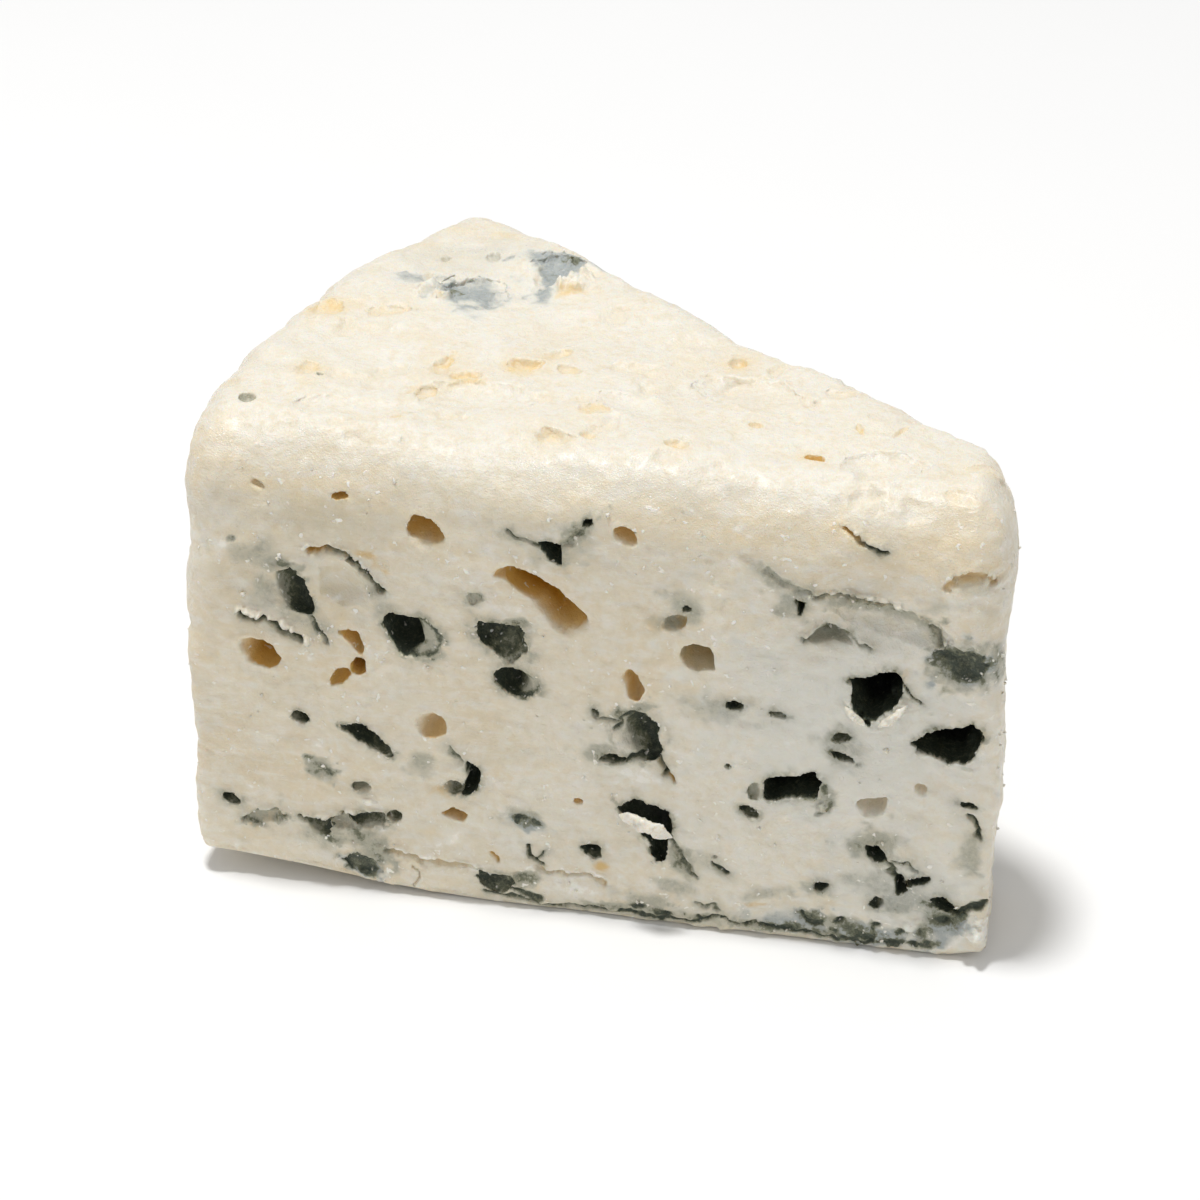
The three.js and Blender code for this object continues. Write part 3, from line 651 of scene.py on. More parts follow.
FRONT_CRACKS = [Crack(*row) for row in (
    ([(-34, 6.8), (-32.7, 7.4), (-31.1, 8), (-29.6, 7.8)], 0.24, 0.5, "mould", 0.5, 0.35),
    ([(-28.3, 7.9), (-27.5, 7.6), (-25.4, 7.4), (-23.8, 8.4)], 0.26, 0.7, "mould", 0.7, 0.6),
    ([(-23.8, 8.5), (-21.8, 8.9), (-19.9, 8.8)], 0.3, 0.8, "mould", 0.95, 0.5),
    # Along the top of the pale hollow at (-23.1, 33.4): a real crack whose dark brown is partly painted
    # shadow under the overhanging lip, and whose pale lip is partly a painted highlight
    ([(-26.2, 38), (-24.8, 38.2), (-23.6, 38.3), (-22.4, 37.8), (-21.7, 37)], 0.34, 1.2, "amber", 1.1,
        0.35),
    ([(-24.4, 38.1), (-23, 38), (-21.7, 37), (-21.1, 36.3), (-20.3, 35.2), (-19.2, 34)], 0.28, 0.9, "mould",
        0.85, 0.2),
    ([(-33, 30.4), (-30.9, 30.1), (-28.7, 29), (-27.3, 28.3)], 0.4, 0.9, "mould", 0.95, 0.8),
    ([(-26.4, 30.6), (-25.6, 29.2), (-24.9, 28.2)], 0.3, 0.5, "mould", 0.7, 0.2),
    ([(-7.2, 42.3), (-5.4, 41.4), (-3.6, 41.4)], 0.28, 0.3, "mould", 0.6),
    ([(-2.6, 41.2), (-0.8, 42.6), (0.2, 43.9)], 0.3, 0.3, "mould", 0.45),
    ([(-13.2, 17.8), (-12.2, 16.2)], 0.25, 0.3, "mould", 0.6),
    ([(-20, 4.9), (-18.3, 4.6), (-16.4, 4.2), (-14.5, 4.4), (-11.2, 4.3)], 0.25, 0.6, "tan", 0.8, 0.3),
    ([(-16.9, 3.4), (-16.6, 2.2), (-17, 1)], 0.2, 0.4, "tan", 0.8),
    ([(-4.8, 4.8), (-1.8, 4.5), (0.3, 4.9), (2, 4)], 0.22, 0.5, "tan", 0.8, 0.2),
    ([(-7.2, 2.5), (-6, 1.7), (-4.8, 1.1)], 0.4, 0.4, "mould", 0.9),
    # The ridge's crack: its pale raised lip is partly a painted highlight where the ridge glints
    ([(21.4, 38.6), (24.2, 38.9), (26.8, 38.7), (28.8, 38.2), (30.9, 37), (32.4, 35.2)], 0.28, 0.5, "mould",
        0.45, 0.7),
    ([(16.8, 41), (18.6, 39.8), (21.4, 38.7)], 0.3, 0.3, "mould", 0.42),
    ([(32.4, 35.2), (32.8, 34.2), (34.6, 33.4)], 0.3, 0.3, "mould", 0.55),
    ([(20.2, 33.7), (21.1, 34.3), (22.6, 35.8), (24.4, 34.8), (26.4, 33.6)], 0.25, 0.3, "mould", 0.5, 0.35),
    ([(10.9, 2.9), (12.5, 3.2), (12.8, 2.6)], 0.25, 0.3, "mould", 0.66),
    ([(12.3, 8.3), (13.8, 7.2)], 0.3, 0.4, "mould", 0.85),
    ([(20.8, 3.3), (21.8, 2.4), (23.2, 2.6)], 0.3, 0.3, "mould", 0.9),
    ([(-5.5, 7.4), (-5.3, 6.1), (-4.3, 5.4)], 0.38, 0.7, "mould", 0.95),
    ([(-4.1, 7), (-4.9, 6)], 0.2, 0.3, "mould", 0.66),
    ([(2.9, 22.4), (3.7, 23.5), (4.9, 24), (6.2, 23.6)], 0.3, 0.3, "mould", 0.9),
    ([(1, 23.8), (1.1, 23.2), (2.2, 23), (3.1, 22.6)], 0.18, 0.4, "mould", 0.6),
    ([(1.6, 18.3), (3.4, 18.6), (5.4, 19.2)], 0.3, 0.6, "mould", 0.8),
    ([(7.1, 18.9), (7.6, 17.6), (8.3, 16.6)], 0.3, 0.8, "amber", 1.1),
    ([(7, 19.2), (7.4, 18.2), (7.7, 17.4)], 0.24, 0.5, "mould", 0.75),
    ([(-9.1, 6.3), (-8.6, 5.4)], 0.28, 0.4, "amber", 1),
    ([(8.3, 10.4), (8.7, 9), (9.6, 7.4), (10.8, 6.2)], 0.35, 0.4, "mould", 0.66),
    ([(33.1, 40.9), (33.7, 42), (35, 42.5), (36.4, 42), (37.4, 41.4)], 0.34, 0.4, "amber", 0.55),
    ([(29.4, 30.6), (30.2, 29.4), (31.2, 28.6)], 0.22, 0.4, "mould", 0.75),
    ([(36.4, 16.6), (37.3, 15.2), (37.5, 14.2)], 0.32, 0.7, "mould", 0.95),
    ([(28.8, 10.6), (29.4, 9.6), (30.1, 8.7)], 0.32, 0.5, "mould", 0.85),
    ([(29.3, 10.3), (30.8, 10.4), (31.8, 9.9)], 0.22, 0.3, "mould", 0.6),
    ([(35.5, 5.4), (36.2, 5.7), (37.1, 6.4), (38.3, 7)], 0.42, 0.6, "mould", 0.95),
    # The dark line where mould creeps along the foot
    ([(-10, 1.6), (-7, 1.2), (-4.6, 0.7), (-2.4, 0.5)], 0.22, 0.3, "mould", 0.8),
    ([(-2, 0.5), (0, 0.6), (2, 0.7), (4.2, 1), (6.4, 0.9), (9.6, 0.9)], 0.34, 0.3, "mould", 0.95),
    ([(9.6, 1), (12.9, 1.6), (14.9, 1.2), (16.8, 1.7)], 0.18, 0.3, "mould", 0.85),
    ([(16.8, 1.7), (19.1, 1.1), (21.9, 0.9), (24.6, 0.8), (27.5, 0.9)], 0.3, 0.3, "mould", 0.92),
    ([(23.7, 45.4), (24.6, 44.9), (25.5, 44.5)], 0.26, 0.7, "amber", 1.1, 0.15),
    ([(25.5, 44.5), (26.5, 44.2), (27.4, 44)], 0.22, 0.6, "mould", 0.9, 0.15),
)]

FRONT_FLAKES = [
    Flake([(3.5, 12.9, 0), (5.2, 12.6, 0.35), (7, 11.9, 0.4), (8.8, 11, 0.1)], 0.76, 0.5),
    Flake([(24.6, 27.9, 0), (25.5, 26.9, 0.25), (26.6, 26, 0.05)], 0.36, 0.3),
    Flake([(30.2, 28.6, 0), (29.3, 27.3, 0.25), (27.7, 26, 0.05)], 0.4, 0.3),
]

TOP_EYES = [
    dimple((19.8, -19.5), oval(1, 0.6, -20), 1, amber=0.75, tan=1, light=(-90, 0.6)),
    dimple((7.3, -20.7), oval(1.4, 0.9, -10), 0.7, tan=1.3),
    dimple((-33.4, -20.2), oval(0.85, 0.9), 0.8, mould=0.3, light=(-90, 0.8), ragged=0.2),
    dimple((-29.3, -13.8), oval(1.2, 1.7), 0.5, tan=0.8, ragged=0.2),
    dimple((-27.9, -14.7), oval(0.35, 0.4), 0.6, mould=0.5),
    dimple((-17.2, -9.4), oval(1, 2, -15), 0.6, tan=1.1, ragged=0.3),
    dimple((-14.9, -11.4), oval(1.7, 0.8, 20), 0.5, tan=1.2, ragged=0.3),
    dimple((-17.6, -14.8), oval(1.6, 1.4, 0), 0.5, tan=0.8, ragged=0.3),
    dimple((-9.5, -7.9), [(-1.8, -0.6), (-1.3, 0.6), (0.2, 0.7), (1.7, 1.1), (1.4, -0.4), (0, -1)], 0.8,
        tan=1.3, ragged=0.2),
    dimple((-7, -5.2), oval(1.7, 0.8, 50), 0.4, tan=0.8, ragged=0.3),
    dimple((-5.4, -8.2), oval(1.4, 0.9, -30), 0.4, tan=0.7, ragged=0.3),
    dimple((-19.5, -20.3), oval(0.5, 0.5), 0.4, tan=0.8),
    dimple((-1.6, -15.8), oval(1.6, 1), 0.4, tan=0.8, ragged=0.3),
    dimple((-4.6, -21.2), oval(2.4, 0.9, 6), 0.4, tan=0.7, ragged=0.4),
    dimple((-1, -20.4), oval(0.8, 0.8), 0.5, tan=0.9, ragged=0.2),
    dimple((10, -3.3), oval(0.95, 1.3), 0.8, tan=1.4),
    dimple((13.6, -15), oval(0.8, 0.6), 0.4, tan=0.8, ragged=0.2),
    dimple((-31, -1), oval(1.9, 1.8, 30), 0.6, tan=1.2, ragged=0.3),
    dimple((-25, -0.2), oval(2.4, 1.2, 10), 0.4, tan=0.6, ragged=0.4),
    dimple((23.2, -14.3), oval(0.35, 1.7, 18), 0.4, tan=1, ragged=0.2),
    dimple((26.8, -13.9), oval(0.35, 1.7, -22), 0.4, tan=1.1, ragged=0.2),
    dimple((35, -18.8), oval(2.2, 0.8, 25), 0.3, tan=0.7, ragged=0.15),
    dimple((33.7, -23.5), oval(1.8, 0.9, -10), 0.15, tan=0.5, ragged=0.12),
    dimple((20.6, -8), oval(1.4, 1.2), 0.3, tan=0.4, ragged=0.3),
    dimple((-17.5, 13), oval(1, 1.2), 0.4, mould=0.2, ragged=0.2),
    dimple((-22.2, 12.1), oval(0.5, 0.8), 0.4, mould=0.22, tan=0.4),
    dimple((-10.6, 12), oval(2.4, 3.4, -10), 0.7, ragged=0.4),
    dimple((-17.8, 6.4), oval(3.2, 2.2, -8), 0.6, ragged=0.4),
    dimple((-13, -15), oval(5.5, 3.4, 10), 0.6, belly=-0.6),
    dimple((12, -9), oval(6, 3, -15), 0.55, belly=-0.6),
    dimple((26, -20), oval(4, 2.4, 10), 0.55, belly=-0.6),
    dimple((-24, -20), oval(6, 2.4, 10), 0.5, belly=-0.6),
    dimple((2, -14), oval(4, 2, -20), 0.4, belly=-0.6),
]

TOP_MARKS = marks(
    (-20.8, 13.2, 8.5, 6, 0, "haze", 0.22), (-18.2, 5.9, 3.4, 4.4, -15, "blue", 0.9),
    (-16.4, 4.8, 1.9, 2.2, 0, "blue", 0.85), (-19.8, 5.4, 2.2, 3.2, 0, "blue", 1.1),
    (-19.9, 4.8, 1.1, 1.4, 0, "mould", 0.2), (-24.4, 7, 3, 1.1, -8, "blue", 0.75),
    (-12.2, 13.8, 3.8, 2, -8, "blue", 0.85), (-10, 13.4, 2, 2.6, 0, "blue", 1.05),
    (-10, 14.2, 1.2, 1.2, 0, "mould", 0.26), (-11, 10.4, 1.5, 3.4, 0, "blue", 0.95),
    (-11, 6.8, 1.4, 2.4, 0, "blue", 0.85), (-6.8, 13.4, 2.4, 1.1, -20, "blue", 0.65),
    (-21.6, 4.3, 1.5, 1, 0, "lump", 0.9), (-20.6, 3.4, 0.9, 0.7, 0, "lump", 0.7),
    (-8.6, 9.6, 1.9, 1.5, 25, "lump", 1), (-8.6, 11.8, 1.2, 1, 0, "lump", 0.7),
    (-8.3, 7.6, 2, 0.9, 15, "tan", 1.19), (-21, 3.2, 1.4, 0.5, 10, "tan", 0.77),
    (-25, 15.2, 3, 1.6, 35, "tan", 0.45), (-22, 18.8, 3, 1.4, 25, "tan", 0.4),
    (-17.4, 18.4, 1.6, 1, -20, "tan", 0.59), (-31, -0.8, 3.6, 3.2, 25, "tan", 0.57),
    (-25, 0, 4, 2, 10, "tan", 0.25), (-16.6, -11.4, 3.2, 4.6, -15, "tan", 0.38),
    (-14.7, -11.9, 2.2, 1, 25, "tan", 0.94), (-20, -5, 5.2, 1.6, 5, "tan", 0.23),
    (-9, -1, 4.4, 1.6, 5, "tan", 0.23), (-9.4, -8.5, 2.4, 1.4, 5, "tan", 1.1),
    (-7.4, -6.6, 2.8, 1.8, 40, "tan", 0.4), (-1.6, -15.8, 3, 1.8, 0, "tan", 0.25),
    (-4, -21, 5, 1.8, 0, "tan", 0.2), (7.3, -20.7, 2.8, 1.6, -10, "tan", 0.4),
    (3.4, -7, 4, 1.8, 10, "tan", 0.2), (5.8, -3.7, 3, 2.4, 10, "tan", 0.17),
    (19.6, -19.3, 1.8, 1.4, -15, "tan", 0.68), (10, -3.3, 1.9, 2.2, 0, "tan", 0.77),
    (15.6, -10, 3.6, 1.8, 0, "tan", 0.15), (24.8, -14.2, 3, 2.6, 0, "tan", 0.15),
    (24.9, -14, 1.5, 2, 0, "chalk", 0.8), (35, -18.8, 3.2, 1.9, 25, "tan", 0.38),
    (33.7, -23.6, 2.8, 1.6, -10, "tan", 0.3), (-29.3, -14.2, 2.4, 3, 0, "tan", 0.45),
    (-36, -12, 1.6, 5, 0, "tan", 0.25), (-34.5, -24, 2.8, 2.6, 0, "tan", 0.25),
    (-11, -3.5, 9, 5, 10, "chalk", 0.3), (-8, -14.6, 6, 2.6, 0, "chalk", 0.7),
    (16, -18, 9, 3, 0, "chalk", 0.3), (-25, -22, 8, 2.6, 0, "chalk", 0.3),
)

BACK_EYES = [
    mouldy((84, 33), oval(3.2, 2.2, 25), 6, ragged=0.14, halo=1.2, light=(200, 0.5), lip=0.6),
    mouldy((78, 18), oval(2.6, 1.8, -30), 4.5, ragged=0.16, light=(-60, 0.7)),
    clean((70, 38), [(-3.6, 1.2), (-1.2, 2.2), (1.8, 1.4), (3.6, -1), (1.4, -2), (-2, -1)], 4.5,
        light=(-90, 0.4)),
    mouldy((66, 25), oval(2.2, 1.8), 3.5, ragged=0.16, halo=1.2, light=(180, 1)),
    mouldy((60, 11), oval(3, 1.7, 15), 4.5, ragged=0.18, light=(-90, 0.6), lip=0.5),
    mouldy((54, 31), oval(3.4, 2.4, 40), 6.5, ragged=0.16, light=(0, 0.2), lip=0.9),
    clean((47, 19), oval(2.4, 2, -50), 4, ragged=0.1, light=(-90, 0.5)),
    mouldy((41, 36), oval(2.2, 1.5, 10), 3.5, ragged=0.16, light=(10, 0.8)),
    mouldy((36, 10), oval(2.6, 1.5, -15), 3.5, ragged=0.2, light=(-90, 0.6)),
    mouldy((88, 9), oval(3.4, 1.2, 5), 1.6, mould=0.85, ragged=0.22, light=(-90, 0.8)),
    mouldy((50, 7), oval(3, 1, -5), 1.6, mould=0.85, ragged=0.22, light=(-90, 0.8)),
]

# How deep under a face the points still belong to it
NEAR = 3.5
AXIS_X, AXIS_Y, AXIS_Z = np.eye(3)


def front_face(points, wheel):
    """The front cut: u is x and v is z."""
    rows = np.nonzero(points[:, 1] - wheel.y < NEAR)[0]
    return Face(rows, points[rows, 0], points[rows, 2], AXIS_X, AXIS_Z, AXIS_Y)


def back_face(points, wheel):
    """The back cut: u is the distance from the middle of the wheel, and v is z."""
    out = np.array([math.sin(wheel.angle), math.cos(wheel.angle), 0])
    away = np.array([-math.cos(wheel.angle), math.sin(wheel.angle), 0])
    from_middle = points - np.array([wheel.x, wheel.y, 0])
    rows = np.nonzero(-(from_middle @ out) < NEAR)[0]
    return Face(rows, from_middle[rows] @ away, points[rows, 2], away, AXIS_Z, -out)


def top_face(points, wheel):
    """The top: u is x and v is y."""
    rho, _ = wheel.polar(points)
    rows = np.nonzero(wheel.top_at(rho) - points[:, 2] < NEAR)[0]
    return Face(rows, points[rows, 0], points[rows, 1], AXIS_X, AXIS_Y, -AXIS_Z)


def rind_face(points, wheel):
    """The rind: u is the arc from its middle, and v is z."""
    rho, phi = wheel.polar(points)
    rows = np.nonzero(wheel.radius - rho < NEAR)[0]
    phi = phi[rows]
    around = np.stack([np.sin(phi), np.cos(phi), 0 * phi], axis=1)
    inwards = np.stack([np.cos(phi), -np.sin(phi), 0 * phi], axis=1)
    return Face(rows, (phi - wheel.angle / 2) * wheel.radius, points[rows, 2], around, AXIS_Z, inwards)


def rim_radius(angle, rim):
    """Distance from an eye's middle to its rim in each direction. Between two corners, in order of
    angle, it is where the ray meets their straight edge: the corners' cross product over the ray's
    cross product with the edge."""
    corners = np.asarray(rim, float)
    bearing = np.arctan2(corners[:, 1], corners[:, 0])
    order = np.argsort(bearing)
    corners, bearing = corners[order], bearing[order]
    angle = (angle + math.pi) % (2 * math.pi) - math.pi
    after = np.searchsorted(bearing, angle) % len(corners)
    a, b = corners[after - 1], corners[after]
    edge = b - a
    cross = a[:, 0] * b[:, 1] - a[:, 1] * b[:, 0]
    ray = np.cos(angle) * edge[:, 1] - np.sin(angle) * edge[:, 0]
    return np.abs(cross) / np.maximum(np.abs(ray), 1e-3)


def soft_rim(angle, rim):
    """The rim's radius with its corners rounded, as the mean over a few close directions."""
    return sum(rim_radius(angle + turn, rim) for turn in (-0.1, 0.0, 0.1)) / 3


# Step between the seeds of neighbouring eyes, marks and cracks
SEED_STEP = 7

# Marks of these kinds stand for this much of a cover
LEVELS = {"haze": ("mould", 0.34), "blue": ("blue", 0.34), "lump": ("chalk", 1.0)}


class Surface:
    """The lattice's points, before and after shaping, and what covers each of them."""

    # One cover holds the depth of hollows, which the paste turns into painted shade
    COVERS = ("mould", "blue", "amber", "tan", "chalk", "cave", "wet")

    def __init__(self, points, quads):
        self.rest = points
        self.quads = quads
        self.normal = surface_normals(points, quads)
        self.shift = np.zeros_like(points)
        self.cover = {name: np.zeros(len(points), np.float32) for name in self.COVERS}

    def raise_to(self, name, rows, values):
        """Covers these rows at least this far."""
        cover = self.cover[name]
        cover[rows] = np.maximum(cover[rows], values)

    def detail(self):
        """How much the covers change near each point, from 0 to 1, on the front and the top."""
        change = np.zeros(len(self.rest))
        for name in ("mould", "blue", "amber", "chalk"):
            corner = self.cover[name][self.quads]
            spread = np.ptp(corner, axis=1)
            change = np.maximum(change, np.bincount(
                self.quads.ravel(), weights=np.repeat(spread, 4), minlength=len(change)))
        seen = 0.25 + 0.75 * smooth(np.maximum(-self.normal[:, 1], self.normal[:, 2]), 0.2, 0.7)
        return seen * smooth(change, 0.0, 0.5) * (self.normal[:, 2] > -0.5)


def near(face, middle, reach):
    """The part of a face within reach of a place on it: which of the face's rows, which of the
    surface's, and the distances from the place along u and v."""
    du, dv = face.u - middle[0], face.v - middle[1]
    part = np.nonzero((np.abs(du) < reach) & (np.abs(dv) < reach))[0]
    return part, face.rows[part], du[part], dv[part]


def along(axis, part, amount):
    """Steps of these amounts in a face direction, which is one for all points or one each."""
    return (axis if axis.ndim == 1 else axis[part]) * amount[:, None]


# How much of its depth an eye's open side loses, the height of the lumps on its walls, of the swelling
# at its rim, of the crumbly mould round it and of its lip, and the cover of its grey veil
OPEN_LOSS = 0.72
WALL_LUMPS = 0.20
RIM_SWELL = 0.07
MOULD_SWELL = 0.10
EYE_LIP = 0.4
EYE_VEIL = 0.46

# How deep mould sinks into the paste, how far a crack wanders and its lip stands up, and the cover and
# the reach of its grey veil
MOULD_SINK = 0.35
CRACK_WANDER = 0.3
CRACK_LIP = 0.7
CRACK_VEIL = 0.30
CRACK_VEIL_REACH = 0.6


def open_eye(surface, face, eye, seed):
    """Sinks an eye. A point at share q of the way from the rim to the middle moves to the angle
    from -belly to a right angle on a ball, so that the wall drops steeply, widens under the rim and
    closes in a round floor. On the light side the wall runs out gently and is barer. Its walls get the
    eye's covers, and the face round it a veil and crumbly unevenness."""
    reach = max(math.hypot(*corner) for corner in eye.rim) + 2.5 * eye.halo + 0.8
    part, rows, du, dv = near(face, eye.at, reach)
    rest = surface.rest[rows]
    away = np.hypot(du, dv)
    angle = np.arctan2(dv, du)
    rough = layered_noise(rest, 1.2, seed, layers=4, fall=0.62)
    rim = soft_rim(angle, eye.rim) * (1 + eye.ragged * rough)

    q = np.clip(1 - away / rim, 0, 1)
    inside = q > 0
    towards = np.cos(angle - math.radians(eye.light[0])) * away / rim
    clear = np.minimum(eye.light[1] * smooth(towards, -0.25, 0.5), 1)
    fade = 1 - min(eye.light[1], 1) * smooth(towards, -0.5, 0.85)
    start = -eye.belly
    steep = 1.15 - 0.3 * eye.ring**2 + 0.6 * clear * (1 - eye.ring)
    turn = start + (math.pi / 2 - start) * q**steep
    wide = np.cos(turn) / math.cos(start)
    depth = eye.deep * (np.sin(turn) - math.sin(start)) / (1 - math.sin(start))
    depth = np.where(inside, depth * (1 - OPEN_LOSS * clear), 0)
    slide = np.where(inside, rim * wide - away, 0) / np.maximum(away, 1e-6) * (1 - clear)
    lumps = WALL_LUMPS * layered_noise(rest, 1.0, seed + 50, layers=2)
    lumps = lumps * smooth(q, 0, 0.4) * min(1, eye.deep / 3)
    ring = np.exp(-np.maximum(0, away - rim) / (0.42 * eye.halo + 0.05)) * ~inside
    lower = smooth(-dv / np.maximum(away, 1e-6), 0.0, 0.8)
    edge = RIM_SWELL * bump(away / rim, 1.08, 0.08) + MOULD_SWELL * eye.mould * ring * (0.4 + rough)
    edge = edge + EYE_LIP * eye.lip * lower * bump(away / rim, 1.1, 0.12) * (0.8 + 0.5 * rough)
    surface.shift[rows] += (
        along(face.to_u, part, du * slide) + along(face.to_v, part, dv * slide)
        + along(face.to_w, part, depth + lumps - edge)
    )

    bare = clear * (1 - eye.ring * (1 - smooth(q, 0.10, 0.35)))
    share = smooth(q, 0.0, 0.09 - 0.02 * eye.ring + 0.48 * bare)
    # The eye's depth is kept as a cover: painted shade that darkens its walls
    surface.raise_to("cave", rows, smooth(depth, 0.3, 6.5) * inside)
    # The amber fades towards the light side: painted light, the wall that faces the light paler than the
    # one in shade
    surface.raise_to("amber", rows, eye.amber * share * (0.15 + 0.85 * fade))
    surface.raise_to("tan", rows, eye.tan * smooth(q, -0.1, 0.35) * (1 - 0.3 * clear))
    bowl = 1 - 0.8 * (1 - eye.ring) * (1 - fade)
    surface.raise_to("mould", rows, eye.mould * share * (1 - 0.62 * bare) * bowl)
    if eye.halo > 0:
        veil = EYE_VEIL * min(1, 1.2 * eye.mould) * ring * (0.8 + 0.6 * rough)
        surface.raise_to("mould", rows, veil * (1 - 0.6 * clear * (1 - eye.ring)))
    if eye.lip > 0:
        pale = eye.lip * lower * bump(away / rim, 1.12, 0.16)
        surface.raise_to("chalk", rows, pale)
        surface.cover["mould"][rows] *= 1 - np.clip(1.2 * pale, 0, 1) * ~inside


def lay_mark(surface, face, mark, seed):
    """Covers a soft ellipse. Its strength falls as a smooth step of the turned, stretched distance from
    its middle, which noise makes uneven. Mould sinks in a little, and a lump stands up."""
    turn = math.radians(mark.tilt)
    part, rows, du, dv = near(face, mark.at, 1.7 * max(mark.long, mark.short))
    rest = surface.rest[rows]
    a = (du * math.cos(turn) + dv * math.sin(turn)) / mark.long
    b = (-du * math.sin(turn) + dv * math.cos(turn)) / mark.short
    rough = layered_noise(rest, min(1.6, 0.6 + 0.5 * mark.short), seed, layers=3, fall=0.65)
    away = np.hypot(a, b) * (1 + 0.45 * rough)
    kind, level = LEVELS.get(mark.kind, (mark.kind, 1.0))
    value = level * mark.strength * (1 - smooth(away, 0.25, 1.25))
    surface.raise_to(kind, rows, value)
    if mark.kind == "mould":
        surface.shift[rows] += along(face.to_w, part, MOULD_SINK * value * (0.4 + rough))
    if mark.kind == "lump":
        knobs = layered_noise(rest, 0.7, seed + 4, layers=2)
        surface.shift[rows] -= along(face.to_w, part, value * (0.8 + 0.7 * knobs))


def cut_crack(surface, face, crack, seed):
    """Opens a thin crack: depth and cover fall with the distance from the nearest stretch of its path,
    which noise makes wander. The edge on its left may stand up as a pale, broken lip."""
    path = np.asarray(crack.path, float)
    middle = (path.min(axis=0) + path.max(axis=0)) / 2
    part, rows, _, _ = near(face, middle, np.ptp(path, axis=0).max() / 2 + 2)
    rest = surface.rest[rows]
    place = np.stack([face.u[part], face.v[part]], axis=1)
    place[:, 0] += CRACK_WANDER * layered_noise(rest, 0.9, seed, layers=2)
    place[:, 1] += CRACK_WANDER * layered_noise(rest, 0.9, seed + 5, layers=2)
    away = np.full(len(rows), 1e3)
    left = np.zeros(len(rows), bool)
    for a, b in zip(path[:-1], path[1:]):
        edge = b - a
        t = np.clip(((place - a) @ edge) / (edge @ edge), 0, 1)
        off = place - a - t[:, None] * edge
        gap = np.linalg.norm(off, axis=1)
        left = np.where(gap < away, edge[0] * off[:, 1] > edge[1] * off[:, 0], left)
        away = np.minimum(away, gap)
    width = crack.width * (1 + 0.5 * noise(rest, 1.3, seed + 2))
    value = 1 - smooth(away, 0.2 * width, 1.3 * width)
    surface.shift[rows] += along(face.to_w, part, crack.deep * value)
    surface.raise_to(crack.kind, rows, crack.strength * value)
    if crack.kind == "mould":
        surface.raise_to("mould", rows, CRACK_VEIL * np.exp(-away / CRACK_VEIL_REACH))
    # A crack's depth also darkens it a little in painted shade
    if crack.kind != "tan":
        surface.raise_to("cave", rows, 0.3 * value)
    if crack.lip > 0:
        broken = np.clip(0.65 + 1.1 * layered_noise(rest, 0.6, seed + 3), 0, 1.4)
        edge = bump(away, 1.4 * crack.width, 0.24) * left * broken
        surface.shift[rows] -= along(face.to_w, part, CRACK_LIP * crack.lip * edge)
        surface.raise_to("chalk", rows, 1.1 * edge)


def scattered_eyes(seed, count, low, high, sizes, mouldy_share, spacing=3.0):
    """Eyes at random places in a rectangle, no two closer than the spacing."""
    draw = np.random.default_rng(seed)
    eyes, taken = [], []
    for _ in range(count * 6):
        place = draw.uniform(low, high)
        long = draw.uniform(*sizes)
        short = long * draw.uniform(0.5, 0.95)
        tilt = draw.uniform(-60, 60)
        kind = draw.random()
        if len(eyes) == count or any(math.dist(place, other) < spacing for other in taken):
            continue
        taken.append(place)
        if kind < mouldy_share:
            eyes.append(mouldy(tuple(place), oval(long, short, tilt), 1.5 * long, ragged=0.18))
        else:
            eyes.append(clean(tuple(place), oval(long, short, tilt), 1.3 * long, ragged=0.12, amber=0.8))
    return eyes


def scattered_marks(seed, count, low, high, sizes, kind, strengths):
    """Marks of one kind at random places in a rectangle."""
    draw = np.random.default_rng(seed)
    scattered = []
    for _ in range(count):
        place = draw.uniform(low, high)
        long = draw.uniform(*sizes)
        short = long * draw.uniform(0.35, 0.9)
        tilt = draw.uniform(-40, 40)
        scattered.append(Mark(tuple(place), long, short, tilt, kind, draw.uniform(*strengths)))
    return scattered


